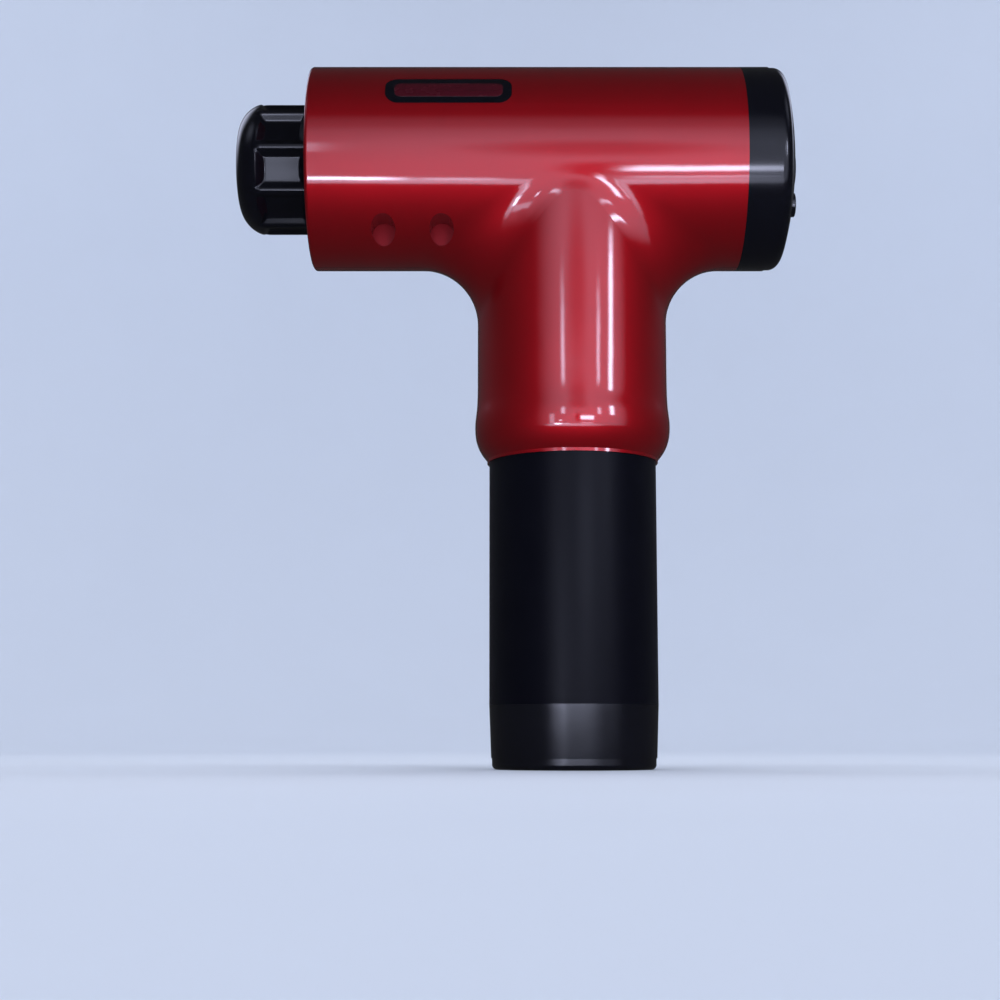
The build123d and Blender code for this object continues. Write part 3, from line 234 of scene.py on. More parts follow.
def mouldedFinish(name, look, partingLine=False, ink=None):
    finish, tree, shader, place = newFinish(name, {
        "Base Color": fromHex(look["colour"]),
        "Metallic": look.get("metal", 0.0),
        "Roughness": look["rough"],
        "IOR": plasticIor,
        "Specular IOR Level": look["specular"],
        "Coat Weight": look.get("coat", 0.0),
        "Coat Roughness": look.get("coatRough", 0.1),
        "Coat IOR": clearCoatIor,
        "Sheen Weight": look.get("sheen", 0.0),
        "Sheen Roughness": bloomRough,
    })
    patches = addNode(tree, "ShaderNodeTexNoise", {"Scale": perMetre(look["patch"]), "Detail": 3.0},
                      {"Vector": place})
    colour = tintBetween(tree, patches.outputs["Fac"], look)
    rough = roughBetween(tree, patches.outputs["Fac"], look)
    wave = addNode(tree, "ShaderNodeTexNoise", {"Scale": perMetre(look["wave"]), "Detail": 1.0},
                   {"Vector": place})
    grain = addNode(tree, "ShaderNodeTexNoise", {"Scale": perMetre(look["grain"]), "Detail": 2.0},
                    {"Vector": place})
    slow = addNode(tree, "ShaderNodeBump", {"Strength": 1.0, "Distance": metres(look["waveDepth"])},
                   {"Height": wave.outputs["Fac"]})
    fine = addNode(tree, "ShaderNodeBump", {"Strength": 1.0, "Distance": metres(look["grainDepth"])},
                   {"Height": grain.outputs["Fac"], "Normal": slow.outputs["Normal"]})
    normal = fine.outputs["Normal"]
    if partingLine:
        apart = addNode(tree, "ShaderNodeSeparateXYZ", links={"Vector": place})
        off = addNode(tree, "ShaderNodeMath", links={0: apart.outputs["Y"]}, operation="ABSOLUTE")
        line = addNode(tree, "ShaderNodeMapRange", {
            "From Min": metres(partingLook["inner"]), "From Max": metres(partingLook["outer"]),
        }, {"Value": off}, interpolation_type="SMOOTHSTEP")
        seam = addNode(tree, "ShaderNodeMix", links={"Factor": line.outputs["Result"], "B": colour},
                       data_type="RGBA")
        seam.inputs["A"].default_value = fromHex(partingLook["colour"])
        colour = seam.outputs["Result"]
        groove = addNode(tree, "ShaderNodeBump", {
            "Strength": partingLook["strength"], "Distance": metres(partingLook["depth"]),
        }, {"Height": line.outputs["Result"], "Normal": normal})
        normal = groove.outputs["Normal"]
    if ink:
        # marks laid on the moulding in another colour, with their own gloss
        mask = markMask(tree, place, ink)
        printed = addNode(tree, "ShaderNodeMix", links={"Factor": mask, "A": colour}, data_type="RGBA")
        printed.inputs["B"].default_value = fromHex(ink["colour"])
        colour = printed.outputs["Result"]
        dried = addNode(tree, "ShaderNodeMix", {"B": ink["rough"]}, {"Factor": mask, "A": rough},
                        data_type="FLOAT")
        rough = dried.outputs["Result"]
        if ink.get("metal"):
            tree.links.new(mask, shader.inputs["Metallic"])
    tree.links.new(colour, shader.inputs["Base Color"])
    tree.links.new(rough, shader.inputs["Roughness"])
    tree.links.new(normal, shader.inputs["Normal"])
    if look.get("coat"):
        tree.links.new(slow.outputs["Normal"], shader.inputs["Coat Normal"])
    return finish


finishes = {}
for name, look in mouldings.items():
    finishes[name] = mouldedFinish(name, look, partingLine=name == "redFlakeLacquer")


def middle(node, *axes):
    # the middle of a node's box along the axes named
    low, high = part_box(node)
    return [(low[axis] + high[axis]) / 2 for axis in axes]


# pad-printed marks on the keys and the rocker, flat pale grey ink, and the jack's turned nickel pin
inkLook = {"colour": "#C3C8D2", "rough": 0.55}
plusBar, minusBar = {"at": (0, 0), "bar": (0.55, 3.0)}, {"at": (0, 0), "bar": (3.0, 0.55)}
keyFace, baseFace = (1, 2), (0, 1)   # the axes that run across and up the face
printedParts = {
    "power_button": dict(inkLook, axes=keyFace, centre=middle("power_button", *keyFace), marks=[
        {"at": (0, -0.2), "ring": 2.5, "stroke": 0.55, "open": 2.0}, {"at": (0, 1.7), "bar": (0.55, 2.8)}]),
    "speed_up_button": dict(inkLook, axes=keyFace, centre=middle("speed_up_button", *keyFace),
                            marks=[plusBar, minusBar]),
    "speed_down_button": dict(inkLook, axes=keyFace, centre=middle("speed_down_button", *keyFace),
                              marks=[minusBar]),
    "power_rocker": dict(inkLook, axes=baseFace, centre=middle("switch_case", *baseFace), marks=[
        {"at": (0, 3.9), "bar": (0.5, 2.6)}, {"at": (0, -3.9), "ring": 1.2, "stroke": 0.5}]),
    "charge_jack": dict(colour="#B3AFA3", rough=0.26, metal=True, axes=baseFace,
                        centre=middle("charge_jack", *baseFace), marks=[{"at": (0, 0), "bar": (2.3, 2.3)}]),
}
for partName, ink in printedParts.items():
    finishes[partName + "Printed"] = mouldedFinish(partName + "Printed", mouldings["blackAbsSatin"], ink=ink)
print("plastics and rubbers made:", len(finishes))


# metals: mark is the width in mm of the tool's or mould's own marks, stretched along the way they run,
# and cloudWidth that of the duller clouds on all of them
cloudWidth = 7.0
metals = {
    # turned steel: fine rings left by the tool, bright where they catch the light
    "turnedSteel": dict(
        colour="#9C9DA3", shade="#85868C", rough=0.30, roughSpread=0.10,
        mark=0.6, markDepth=0.004, stretch=(1, 1, 9)),
    # varnished electrical steel, stamped in 0.5 mm sheets that show as lines round the stack
    "laminatedSteel": dict(
        colour="#4B4C50", shade="#303135", rough=0.45, roughSpread=0.12,
        mark=0.5, markDepth=0.030, stretch=(0.05, 0.05, 1)),
    # oil-blackened steel: nearly black with brown where the oil has worn
    "blackenedSteel": dict(
        colour="#17171A", shade="#2A2522", rough=0.38, roughSpread=0.12,
        mark=0.5, markDepth=0.006, stretch=(1, 1, 1)),
    # die-cast aluminium: pale grey with a slightly orange-peel skin
    "castAluminium": dict(
        colour="#A9ABAE", shade="#8F9194", rough=0.48, roughSpread=0.12,
        mark=1.2, markDepth=0.020, stretch=(1, 1, 1)),
    # milled and clear anodised aluminium: silky, with faint tool marks along it
    "milledAluminium": dict(
        colour="#BFC1C5", shade="#ABADB1", rough=0.32, roughSpread=0.08,
        mark=0.4, markDepth=0.004, stretch=(0.15, 1, 1)),
    # pressed and sintered bronze, oil-filled: brown gold with open pores
    "sinteredBronze": dict(
        colour="#9C6B38", shade="#76502C", rough=0.50, roughSpread=0.14,
        mark=0.35, markDepth=0.030, stretch=(1, 1, 1)),
    # rolled nickel strip: bright with lines along the roll
    "rolledNickel": dict(
        colour="#B3AFA3", shade="#9A968A", rough=0.26, roughSpread=0.08,
        mark=0.4, markDepth=0.003, stretch=(0.1, 1, 1)),
    # nickel-plated magnet: a soft mirror with rounded plating grain
    "platedMagnet": dict(
        colour="#A7A6A2", shade="#9A9995", rough=0.18, roughSpread=0.06,
        mark=0.8, markDepth=0.004, stretch=(1, 1, 1)),
    # enamelled copper wire wound in tight turns 0.5 mm apart
    "enamelledCopper": dict(
        colour="#A5552B", shade="#6E3218", rough=0.28, roughSpread=0.08,
        mark=0.5, markDepth=0.120, stretch=(0.06, 0.06, 1)),
}


def metalFinish(name, look):
    finish, tree, shader, place = newFinish(name, {
        "Base Color": fromHex(look["colour"]), "Metallic": 1.0, "Roughness": look["rough"],
    })
    drawn = addNode(tree, "ShaderNodeMapping", {"Scale": look["stretch"]}, {"Vector": place})
    marks = addNode(tree, "ShaderNodeTexNoise", {"Scale": perMetre(look["mark"]), "Detail": 3.0},
                    {"Vector": drawn.outputs["Vector"]})
    cloud = addNode(tree, "ShaderNodeTexNoise", {"Scale": perMetre(cloudWidth), "Detail": 4.0},
                    {"Vector": place})
    blend = addNode(tree, "ShaderNodeMix", {"Factor": 0.5},
                    {"A": marks.outputs["Fac"], "B": cloud.outputs["Fac"]}, data_type="FLOAT")
    bump = addNode(tree, "ShaderNodeBump", {"Strength": 1.0, "Distance": metres(look["markDepth"])},
                   {"Height": marks.outputs["Fac"]})
    tree.links.new(tintBetween(tree, blend.outputs["Result"], look), shader.inputs["Base Color"])
    tree.links.new(roughBetween(tree, cloud.outputs["Fac"], look), shader.inputs["Roughness"])
    tree.links.new(bump.outputs["Normal"], shader.inputs["Normal"])
    return finish


finishes.update({name: metalFinish(name, look) for name, look in metals.items()})
print("metals made:", len(metals))


# circuit board: green solder mask over copper tracks, with bare pads, on woven glass; widths in mm
boardLook = {"mask": "#0E4A26", "maskThin": "#115230", "overCopper": "#1C6B38", "pad": "#B9A46A",
             "track": 2.4, "gap": 0.035, "padSpacing": 3.2, "padEdge": (0.10, 0.13),
             "weave": 0.5, "weaveDepth": 0.02, "copperDepth": 0.04}


def boardFinish(look):
    finish, tree, shader, place = newFinish("solderMaskBoard", {
        "Base Color": fromHex(look["mask"]), "Roughness": 0.3, "IOR": 1.5,
        "Coat Weight": 0.3, "Coat Roughness": 0.12,
    })
    tracks = addNode(tree, "ShaderNodeTexBrick", {
        "Scale": perMetre(look["track"] * 4), "Mortar Size": look["gap"], "Mortar Smooth": 0.1,
        "Brick Width": 0.9, "Row Height": 0.4, "Mortar": fromHex(look["overCopper"]),
        "Color1": fromHex(look["mask"]), "Color2": fromHex(look["maskThin"]),
    }, {"Vector": place})
    dots = addNode(tree, "ShaderNodeTexVoronoi", {"Scale": perMetre(look["padSpacing"])}, {"Vector": place},
                   feature="F1")
    padInner, padOuter = look["padEdge"]
    isPad = addNode(tree, "ShaderNodeMapRange", {
        "From Min": padInner, "From Max": padOuter, "To Min": 1.0, "To Max": 0.0,
    }, {"Value": dots.outputs["Distance"]})
    mix = addNode(tree, "ShaderNodeMix", data_type="RGBA",
                  links={"Factor": isPad.outputs["Result"], "A": tracks.outputs["Color"]})
    mix.inputs["B"].default_value = fromHex(look["pad"])
    weave = addNode(tree, "ShaderNodeTexWave", {"Scale": perMetre(look["weave"]) / 3, "Distortion": 0.4},
                    {"Vector": place})
    relief = addNode(tree, "ShaderNodeBump", {"Strength": 0.5, "Distance": metres(look["weaveDepth"])},
                     {"Height": weave.outputs["Fac"]})
    raised = addNode(tree, "ShaderNodeBump", {"Strength": 0.6, "Distance": metres(look["copperDepth"])},
                     {"Height": tracks.outputs["Fac"], "Normal": relief.outputs["Normal"]})
    tree.links.new(mix.outputs["Result"], shader.inputs["Base Color"])
    tree.links.new(isPad.outputs["Result"], shader.inputs["Metallic"])
    tree.links.new(raised.outputs["Normal"], shader.inputs["Normal"])
    return finish


# heat-shrunk PVC sleeve on the cells: bright blue, tight, with fine lengthwise wrinkles
sleeveLook = {"colour": "#1C5CA8", "shade": "#174B8C",
              "wrinkle": 1.6, "wrinkleDepth": 0.04, "stretch": (1.0, 1.0, 0.08)}


def cellSleeveFinish(look):
    finish, tree, shader, place = newFinish("shrunkPvcSleeve", {
        "Base Color": fromHex(look["colour"]), "Roughness": 0.22, "IOR": plasticIor,
        "Coat Weight": 0.3, "Coat Roughness": 0.1,
    })
    along = addNode(tree, "ShaderNodeMapping", {"Scale": look["stretch"]}, {"Vector": place})
    wrinkles = addNode(tree, "ShaderNodeTexNoise", {"Scale": perMetre(look["wrinkle"]), "Detail": 2.0},
                       {"Vector": along.outputs["Vector"]})
    bump = addNode(tree, "ShaderNodeBump", {"Strength": 0.7, "Distance": metres(look["wrinkleDepth"])},
                   {"Height": wrinkles.outputs["Fac"]})
    tree.links.new(tintBetween(tree, wrinkles.outputs["Fac"], look), shader.inputs["Base Color"])
    tree.links.new(bump.outputs["Normal"], shader.inputs["Normal"])
    return finish


# frosted polycarbonate of the lamp windows: pale and cloudy, so that light spreads a little inside it
lensLook = {"colour": "#C3C8CF", "shade": "#A9AFB8", "frost": 0.3, "frostDepth": 0.01, "glowDepth": 1.0}


def lampLensFinish(look):
    finish, tree, shader, place = newFinish("frostedPolycarbonate", {
        "Base Color": fromHex(look["colour"]), "Roughness": 0.35, "IOR": 1.58, "Subsurface Weight": 0.25,
        "Subsurface Scale": metres(look["glowDepth"]), "Coat Weight": 0.4, "Coat Roughness": 0.1,
    })
    frost = addNode(tree, "ShaderNodeTexNoise", {"Scale": perMetre(look["frost"]), "Detail": 2.0},
                    {"Vector": place})
    bump = addNode(tree, "ShaderNodeBump", {"Strength": 0.5, "Distance": metres(look["frostDepth"])},
                   {"Height": frost.outputs["Fac"]})
    tree.links.new(tintBetween(tree, frost.outputs["Fac"], look), shader.inputs["Base Color"])
    tree.links.new(bump.outputs["Normal"], shader.inputs["Normal"])
    return finish


finishes["solderMaskBoard"] = boardFinish(boardLook)
finishes["shrunkPvcSleeve"] = cellSleeveFinish(sleeveLook)
finishes["frostedPolycarbonate"] = lampLensFinish(lensLook)


# which finish each node of the frame wears
wornBy = {
    "redFlakeLacquer": ["left_shell", "right_shell"],
    # the screw plugs wear the darker red that paints the shade in the wells
    "redPlugPaintedShade": ["screw_plugs"],
    "blackAbsPolished": ["badge", "nose_ring", "rear_ring", "rear_dome"],
    "blackAbsSatin": ["end_cap", "base_plate", "switch_case", "handle_tube"],
    **{partName + "Printed": [partName] for partName in printedParts},
    "blackSiliconeMatt": ["grip_sleeve"],
    "isolatorRubber": ["front_isolator", "frame_pads"],
    "holderPolypropylene": ["lower_cell_holder", "upper_cell_holder"],
    "naturalNylon": ["motor_plug"],
    "epoxyMoulded": ["button_switches", "board_components"],
    "pvcExtruded": ["motor_leads", "battery_leads", "display_cable"],
    "frostedPolycarbonate": ["speed_lamps", "charge_lamp"],
    "solderMaskBoard": ["display_board", "battery_board", "control_board"],
    "shrunkPvcSleeve": ["battery_cells"],
    "turnedSteel": ["motor_can", "motor_shaft", "crank_disc", "crank_washer", "crank_screw", "rod_bearing",
                    "wrist_pin", "motor_bearings", "motor_screws", "guide_screws"],
    "blackenedSteel": ["shell_screws", "ring_screws", "base_screws", "set_screw"],
    "laminatedSteel": ["motor_stator"],
    "enamelledCopper": ["motor_windings"],
    "platedMagnet": ["rotor_magnets"],
    "rolledNickel": ["cell_strips"],
    "sinteredBronze": ["rear_bush", "front_bush"],
    "castAluminium": ["drive_frame", "guide_housing", "motor_mount"],
    "milledAluminium": ["connecting_rod", "piston"],
}
dressed = set()
for finishName, wearers in wornBy.items():
    for wearer in wearers:
        slots = nodes[wearer].data.materials
        for index in range(len(slots)):
            slots[index] = finishes[finishName]
        if not len(slots):
            slots.append(finishes[finishName])
        dressed.add(wearer)
print("nodes still bare:", sorted(set(nodes) - dressed))


def joinRings(drawing, rings):
    # faces between each closed row of points and the next
    for near, far in zip(rings, rings[1:]):
        for i in range(len(near)):
            j = (i + 1) % len(near)
            drawing.faces.new((near[i], far[i], far[j], near[j]))


def pieceFrom(drawing, name, finish):
    # a smooth piece of the scene from a drawn surface, in one finish
    bmesh.ops.recalc_face_normals(drawing, faces=drawing.faces)
    mesh = bpy.data.meshes.new(name)
    drawing.to_mesh(mesh)
    drawing.free()
    mesh.shade_smooth()
    mesh.materials.append(finish)
    piece = bpy.data.objects.new(name, mesh)
    scene.collection.objects.link(piece)
    return piece


# the nose ring, drawn anew over its solid: nine windows with flat floors, sloping sides and thin ribs between
# them; sizes in mm, and a place on it is given from the tip and from the axis
noseLook = {
    "windows": 9, "firstWindow": 197.0,                       # degrees from +Y up towards +Z
    "floorReach": 19.2, "floorHalf": 4.0,                     # the floors' distance and half their width
    "front": 10.3, "rear": 21.7,                              # where the floors begin and end
    "sideSlope": 0.65, "frontSlope": 0.9, "rearSlope": 1.6,   # how steeply the windows rise from them
    "rib": 0.5, "corner": 0.25,                               # rounding of the ribs and of the floors' rims
    "mouth": (0.0, 12.6), "lip": (0.0, 13.4),                 # the opening and the flat lip round it
    "roundReach": 8.6, "roundRadius": 9.9,                    # the tip's rounding
    "length": 24.5,                                           # the part that shows
    "spigot": [(24.5, 19.0), (27.0, 19.0), (27.0, 22.0), (29.2, 22.0), (29.2, 17.6)],   # held in the barrel
    "bore": [(4.4, 17.6), (2.2, 12.6)],                       # the inside, back to the mouth
    "roundSteps": 20, "straightSteps": 48, "stepsPerWindow": 48, "sharpAngle": 40.0,
}


def softLeast(first, second, blend):
    # the smaller of two, with the corner between them rounded over
    near = max(blend - abs(first - second), 0.0) / blend
    return min(first, second) - near * near * blend / 4


def windowReach(look, x, turn):
    # how far out a window's floor or side lies at this place along the nose and this turn from its middle
    flat = look["floorReach"] / math.cos(turn)
    side = (look["floorReach"] - look["sideSlope"] * look["floorHalf"]) / (
        math.cos(turn) - look["sideSlope"] * math.sin(abs(turn)))
    endRise = max(0.0, (look["front"] - x) * look["frontSlope"], (x - look["rear"]) * look["rearSlope"])
    end = look["floorReach"] + endRise
    deeper = -softLeast(-flat, -side, look["corner"])
    return -softLeast(-deeper, -end, look["corner"])


def noseOutline(look, outside):
    # the nose's outline before the windows: place from the tip, radius, and whether the windows cut it there
    (startX, startR), (endX, endR), radius = look["lip"], (look["roundReach"], outside), look["roundRadius"]
    # the arc's centre lies square to the middle of its chord
    halfChord = math.dist((startX, startR), (endX, endR)) / 2
    away = math.sqrt(radius ** 2 - halfChord ** 2) / (2 * halfChord)
    centreX = (startX + endX) / 2 + (endR - startR) * away
    centreR = (startR + endR) / 2 - (endX - startX) * away
    startAngle = math.atan2(startR - centreR, startX - centreX)
    endAngle = math.atan2(endR - centreR, endX - centreX)
    outline = [(x, r, False) for x, r in (look["mouth"], look["lip"])]
    for step in range(1, look["roundSteps"] + 1):
        angle = startAngle + (endAngle - startAngle) * step / look["roundSteps"]
        outline.append((centreX + radius * math.cos(angle), centreR + radius * math.sin(angle), True))
    for step in range(1, look["straightSteps"] + 1):
        x = look["roundReach"] + (look["length"] - look["roundReach"]) * step / look["straightSteps"]
        outline.append((x, outside, True))
    return outline + [(x, r, False) for x, r in look["spigot"] + look["bore"] + [look["mouth"]]]


def buildNose(look):
    low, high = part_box("nose_ring")
    tip, axisHeight, outside = low[0] * 1000, (low[2] + high[2]) * 1000 / 2, (high[2] - low[2]) * 1000 / 2
    nose = bmesh.new()
    count = look["windows"] * look["stepsPerWindow"]
    window = 2 * math.pi / look["windows"]
    rings = []
    for x, r, cut in noseOutline(look, outside):
        points = []
        for i in range(count):
            around = 2 * math.pi * i / count
            angle = around + math.radians(look["firstWindow"])
            turn = (around + window / 2) % window - window / 2
            reach = softLeast(r, windowReach(look, x, turn), look["rib"]) if cut else r
            points.append(nose.verts.new((metres(tip + x), metres(reach * math.cos(angle)),
                                          metres(axisHeight + reach * math.sin(angle)))))
        rings.append(points)
    joinRings(nose, rings)
    bmesh.ops.remove_doubles(nose, verts=nose.verts, dist=0.000001)   # the last row lies on the first
    ring = pieceFrom(nose, "noseWindows", finishes["blackAbsPolished"])
    ring.data.set_sharp_from_angle(angle=math.radians(look["sharpAngle"]))
    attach(ring, "housing")
    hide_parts("nose_ring")


buildNose(noseLook)
print("nose drawn")


# lacquer inlay of the badge: a thin plate that follows the barrel, left bare; sizes in metres
inlayLook = {
    "length": 0.0352, "height": 0.0066, "corner": 0.0022, "cornerSteps": 7,
    "radius": 0.03388, "lift": 31.0,                        # of the barrel there, and degrees up it
    "rise": 0.00006, "sunk": 0.0002,                        # how far its face stands out and its edge goes in
    "crown": [(1.0, 0.6), (0.985, 1.0), (0.7, 1.0), (0.4, 1.0)],   # shares of size and rise, going inwards
}


def roundedRing(look):
    # points round a rectangle with rounded corners, as across and up
    corner, last = look["corner"], look["cornerSteps"] - 1
    points = []
    for turn, (sideways, upwards) in enumerate(((1, 1), (-1, 1), (-1, -1), (1, -1))):
        centreAcross = sideways * (look["length"] / 2 - corner)
        centreUp = upwards * (look["height"] / 2 - corner)
        for step in range(look["cornerSteps"]):
            angle = math.radians(90 * turn + 90 * step / last)
            points.append((centreAcross + corner * math.cos(angle), centreUp + corner * math.sin(angle)))
    return points


def buildInlay(look):
    centreX = middle("badge", 0)[0]
    barrelHeight = middle("power_button", 2)[0]
    plate = bmesh.new()

    def onBarrel(across, up, rise):
        # the badge's left side faces -Y, and up runs round the barrel
        angle = math.radians(look["lift"]) + up / look["radius"]
        reach = look["radius"] + rise
        return plate.verts.new((centreX + across, -reach * math.cos(angle),
                                barrelHeight + reach * math.sin(angle)))

    edge = roundedRing(look)
    rows = [(1.0, -look["sunk"])] + [(share, look["rise"] * rise) for share, rise in look["crown"]]
    rings = [[onBarrel(across * share, up * share, rise) for across, up in edge] for share, rise in rows]
    joinRings(plate, rings)
    centre = onBarrel(0.0, 0.0, look["rise"])
    for i in range(len(edge)):
        plate.faces.new((rings[-1][i], rings[-1][(i + 1) % len(edge)], centre))
    inlay = pieceFrom(plate, "badgeInlay", finishes["badgeLacquer"])
    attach(inlay, "housing")


buildInlay(inlayLook)
print("badge inlay made")


# the stage: pale paper, as a floor that bends up into a wall on every side; sizes in metres
stageLook = {
    "colour": "#DDE3EE", "shade": "#DAE0EB", "pulp": 9.0,              # pulp: cloudy patches to the metre
    "floorRadius": 0.3, "wallDistance": 1.5, "wallHeight": 3.0,
    "bend": 0.6, "bendSteps": 12, "sides": 64,
}


def buildStage(look):
    sweep = bmesh.new()
    bendStart = look["wallDistance"] - look["bend"]
    profile = [(look["floorRadius"], 0.0), (bendStart, 0.0)]
    for step in range(1, look["bendSteps"] + 1):
        turn = math.radians(90 * step / look["bendSteps"])
        profile.append((bendStart + look["bend"] * math.sin(turn), look["bend"] * (1 - math.cos(turn))))
    profile.append((look["wallDistance"], look["wallHeight"]))
    rings = []
    for reach, height in profile:
        angles = [2 * math.pi * side / look["sides"] for side in range(look["sides"])]
        rings.append([sweep.verts.new((reach * math.cos(a), reach * math.sin(a), height)) for a in angles])
    sweep.faces.new(rings[0])
    joinRings(sweep, rings)
    finish, tree, shader, place = newFinish("paleStudioPaper", {
        "Base Color": fromHex(look["colour"]), "Roughness": 0.9, "Specular IOR Level": 0.1,
    })
    pulp = addNode(tree, "ShaderNodeTexNoise", {"Scale": look["pulp"], "Detail": 2.0}, {"Vector": place})
    tree.links.new(tintBetween(tree, pulp.outputs["Fac"], look), shader.inputs["Base Color"])
    stage = pieceFrom(sweep, "stageSweep", finish)
    stage.visible_glossy = False   # the gloss shows the lamps and dark air, as in a studio hung with black


buildStage(stageLook)
print("stage set")


# lamps: a wide soft panel in front, thin reeds of light that draw the gloss, and dim broad ones round the
# back. Each has its place, the point it faces, its width and height in metres, its glow, where 1 lights paper
# to white, and what it lights where that isn't the object. soft holds the shares of its width and height over
# which the glow dies away: left, right, bottom, top. dull holds duller patches: their middle and reach in
# shares of the lamp, and the share of the glow that they take
lampLook = {
    # the wide panel, with two duller patches where whoever stands before it takes some of the light
    "frontPanel": dict(
        place=(0.19, -0.31, 0.203), faces=(0.19, 0.0, 0.203), size=(1.02, 0.394), glow=1.45,
        soft=(0.28, 0.43, 0.06, 0.38),
        dull=[dict(at=(0.335, 0.56), reach=(0.085, 0.17), depth=0.60),
              dict(at=(0.336, 0.27), reach=(0.028, 0.14), depth=0.9)]),
    # a dim brow above it and a sill below
    "frontBrow": dict(
        place=(0.06, -0.318, 0.40), faces=(0.06, 0.0, 0.40), size=(0.70, 0.24), glow=0.42,
        soft=(0.3, 0.3, 0.3, 0.5)),
    "frontSill": dict(
        place=(0.02, -0.312, 0.027), faces=(0.02, 0.0, 0.027), size=(0.48, 0.046), glow=3.4,
        soft=(0.15, 0.45, 0.1, 0.2)),
    # near reeds, for thin lines of light on the housing and the nose
    "reedLow": dict(
        place=(-0.098, -0.309, 0.046), faces=(-0.098, 0.0, 0.046), size=(0.070, 0.030), glow=30.0,
        soft=(0.2, 0.4, 0.4, 0.4)),
    "reedLowFaint": dict(
        place=(-0.045, -0.309, 0.046), faces=(-0.045, 0.0, 0.046), size=(0.060, 0.026), glow=5.0,
        soft=(0.3, 0.4, 0.4, 0.4)),
    "reedRear": dict(
        place=(0.078, -0.305, 0.112), faces=(0.078, 0.0, 0.112), size=(0.095, 0.046), glow=20.0,
        soft=(0.12, 0.1, 0.4, 0.4)),
    "reedRearFaint": dict(
        place=(0.078, -0.307, 0.060), faces=(0.078, 0.0, 0.060), size=(0.095, 0.024), glow=5.0,
        soft=(0.2, 0.2, 0.4, 0.4)),
    "reedNose": dict(
        place=(-0.142, -0.308, 0.100), faces=(-0.142, 0.0, 0.100), size=(0.05, 0.12), glow=3.6,
        soft=(0.3, 0.3, 0.2, 0.2)),
    # far reeds, for the streaks down the neck, and one low down for the foot
    "reedMiddle": dict(
        place=(-0.23, -1.0, 0.33), faces=(0.0, 0.0, 0.13), size=(0.13, 0.22), glow=9.0,
        soft=(0.5, 0.5, 0.1, 0.4)),
    "reedRight": dict(
        place=(0.52, -0.94, 0.33), faces=(0.0, 0.0, 0.13), size=(0.13, 0.22), glow=9.0,
        soft=(0.5, 0.5, 0.1, 0.3)),
    "reedFarRight": dict(
        place=(0.72, -0.74, 0.34), faces=(0.0, 0.0, 0.13), size=(0.16, 0.25), glow=22.0,
        soft=(0.5, 0.5, 0.1, 0.1)),
    "reedCap": dict(
        place=(-0.31, -1.09, 0.036), faces=(0.0, 0.0, 0.03), size=(0.10, 0.05), glow=19.0,
        soft=(0.5, 0.5, 0.1, 0.3)),
    # broad dim lamps for the sides and the back
    "sideLeft": dict(
        place=(-0.85, -0.25, 0.95), faces=(0.0, 0.0, 0.12), size=(0.8, 0.8), glow=0.8,
        soft=(0.5, 0.5, 0.5, 0.5)),
    "sideRight": dict(
        place=(0.85, -0.25, 0.95), faces=(0.0, 0.0, 0.12), size=(0.8, 0.8), glow=0.8,
        soft=(0.5, 0.5, 0.5, 0.5)),
    "backLeft": dict(
        place=(-0.65, 0.65, 0.75), faces=(0.0, 0.0, 0.12), size=(0.8, 0.8), glow=1.6,
        soft=(0.4, 0.4, 0.4, 0.4)),
    "backRight": dict(
        place=(0.65, 0.65, 0.75), faces=(0.0, 0.0, 0.12), size=(0.8, 0.8), glow=1.6,
        soft=(0.4, 0.4, 0.4, 0.4)),
    # the stage's own light
    "floorWash": dict(
        place=(0.0, 0.0, 1.5), faces=(0.0, 0.0, 0.0), size=(1.9, 1.9), glow=0.92,
        lights="stage"),
}
wallWashLook = {"count": 4, "reach": 0.3, "height": 1.15, "wallReach": 1.5, "wallHeight": 0.3,
                "size": (1.4, 0.4), "glow": 1.22}
lampTint = {"object": (0.71, 0.755, 1.0), "stage": (0.93, 0.95, 1.0)}   # cool daylight, and nearly white
airLook = {"colour": "#E6EAF2", "glow": 0.05}
wattsPerGlow = 4.0   # an area lamp glows with its watts over four times its area
dullCore = 0.2       # share of a dull patch's reach that is at its full depth
for index in range(wallWashLook["count"]):
    # one wash for each quarter of the wall
    turn = 2 * math.pi * index / wallWashLook["count"]
    outX, outY = math.cos(turn), math.sin(turn)
    nearReach, farReach = wallWashLook["reach"], wallWashLook["wallReach"]
    lampLook["wallWash" + str(index)] = dict(
        place=(nearReach * outX, nearReach * outY, wallWashLook["height"]),
        faces=(farReach * outX, farReach * outY, wallWashLook["wallHeight"]),
        size=wallWashLook["size"], glow=wallWashLook["glow"], lights="stage")
litAlone = {}
for group, state in (("object", "EXCLUDE"), ("stage", "INCLUDE")):
    litAlone[group] = bpy.data.collections.new(group + "Lit")
    litAlone[group].objects.link(bpy.data.objects["stageSweep"])
    litAlone[group].collection_objects[0].light_linking.link_state = state


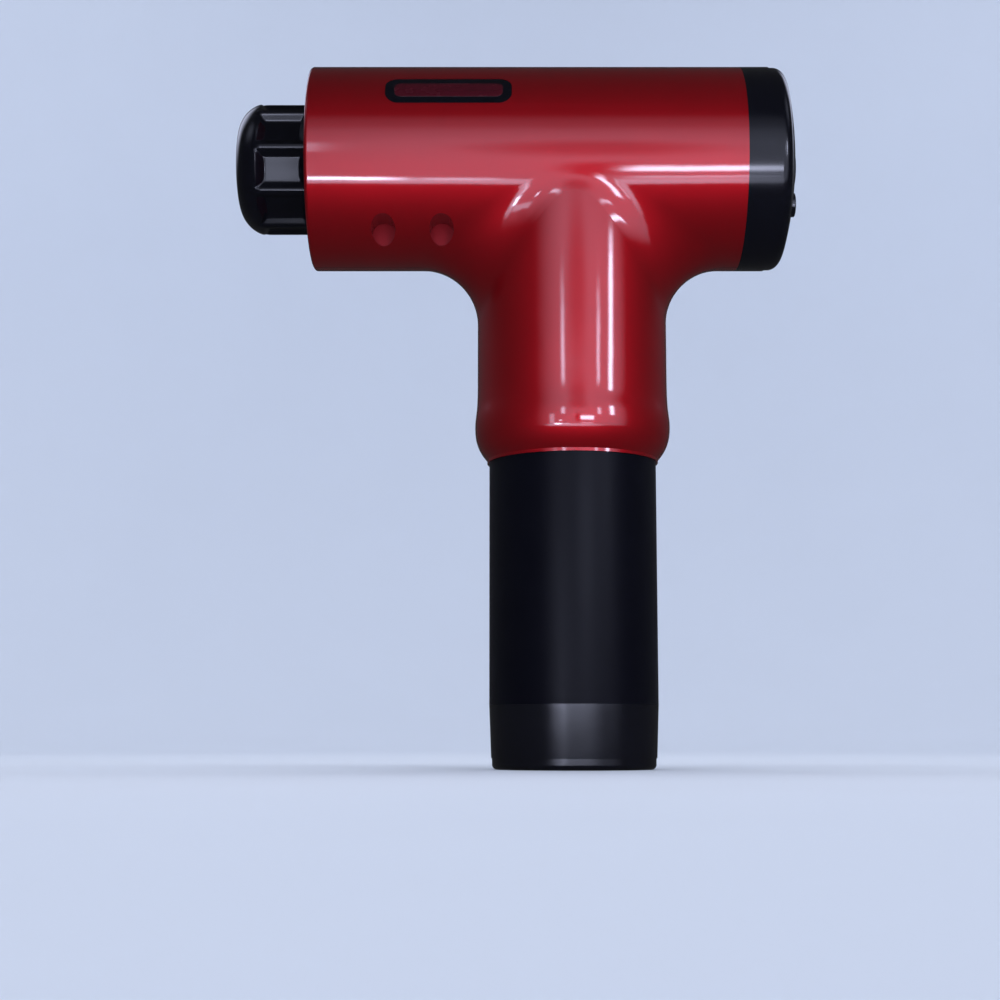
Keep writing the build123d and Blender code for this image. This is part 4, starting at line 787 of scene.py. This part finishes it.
def softenLamp(lampData, look):
    # the glow dies away towards the lamp's edges, as it does behind a cloth diffuser
    lampData.use_nodes = True
    tree = lampData.node_tree
    tree.nodes.clear()
    place = addNode(tree, "ShaderNodeNewGeometry").outputs["Parametric"]
    across = addNode(tree, "ShaderNodeSeparateXYZ", links={"Vector": place})
    left, right, bottom, top = look["soft"]
    shares = []
    edges = ("X", 0.0, left), ("X", 1.0, 1 - right), ("Y", 0.0, bottom), ("Y", 1.0, 1 - top)
    for axis, rim, inside in edges:
        shares.append(addNode(tree, "ShaderNodeMapRange", {"From Min": rim, "From Max": inside},
                              {"Value": across.outputs[axis]}, interpolation_type="SMOOTHSTEP"))
    for dull in look.get("dull", []):
        (u, v), (wide, high) = dull["at"], dull["reach"]
        centred = addNode(tree, "ShaderNodeMapping", {
            "Location": (-u / wide, -v / high, 0.0), "Scale": (1 / wide, 1 / high, 0.0),
        }, {"Vector": place})
        away = addNode(tree, "ShaderNodeVectorMath", links={0: centred}, operation="LENGTH")
        shares.append(addNode(tree, "ShaderNodeMapRange", {
            "From Min": dullCore, "From Max": 1.0, "To Min": 1 - dull["depth"],
        }, {"Value": away.outputs["Value"]}, interpolation_type="SMOOTHSTEP"))
    glow = shares[0]
    for share in shares[1:]:
        glow = addNode(tree, "ShaderNodeMath", links={0: glow, 1: share}, operation="MULTIPLY")
    emission = addNode(tree, "ShaderNodeEmission", links={"Strength": glow})
    addNode(tree, "ShaderNodeOutputLight", links={"Surface": emission})


for lampName, look in lampLook.items():
    lights, (width, height) = look.get("lights", "object"), look["size"]
    lampData = bpy.data.lights.new(lampName, "AREA")
    lampData.shape = "RECTANGLE"
    lampData.size, lampData.size_y = width, height
    lampData.energy = wattsPerGlow * look["glow"] * width * height
    lampData.color = lampTint[lights]
    if "soft" in look:
        softenLamp(lampData, look)
    lamp = bpy.data.objects.new(lampName, lampData)
    lamp.location = look["place"]
    lamp.rotation_mode = "QUATERNION"
    lamp.rotation_quaternion = (Vector(look["faces"]) - Vector(look["place"])).to_track_quat("-Z", "Y")
    lamp.visible_camera = False
    lamp.light_linking.receiver_collection = litAlone[lights]
    scene.collection.objects.link(lamp)

world = bpy.data.worlds.new("studioAir")
scene.world = world
world.use_nodes = True
world.node_tree.nodes.clear()
air = addNode(world.node_tree, "ShaderNodeBackground",
              {"Color": fromHex(airLook["colour"]), "Strength": airLook["glow"]})
addNode(world.node_tree, "ShaderNodeOutputWorld", links={"Surface": air})
scene.view_settings.view_transform = "Standard"
print("lamps and air set")
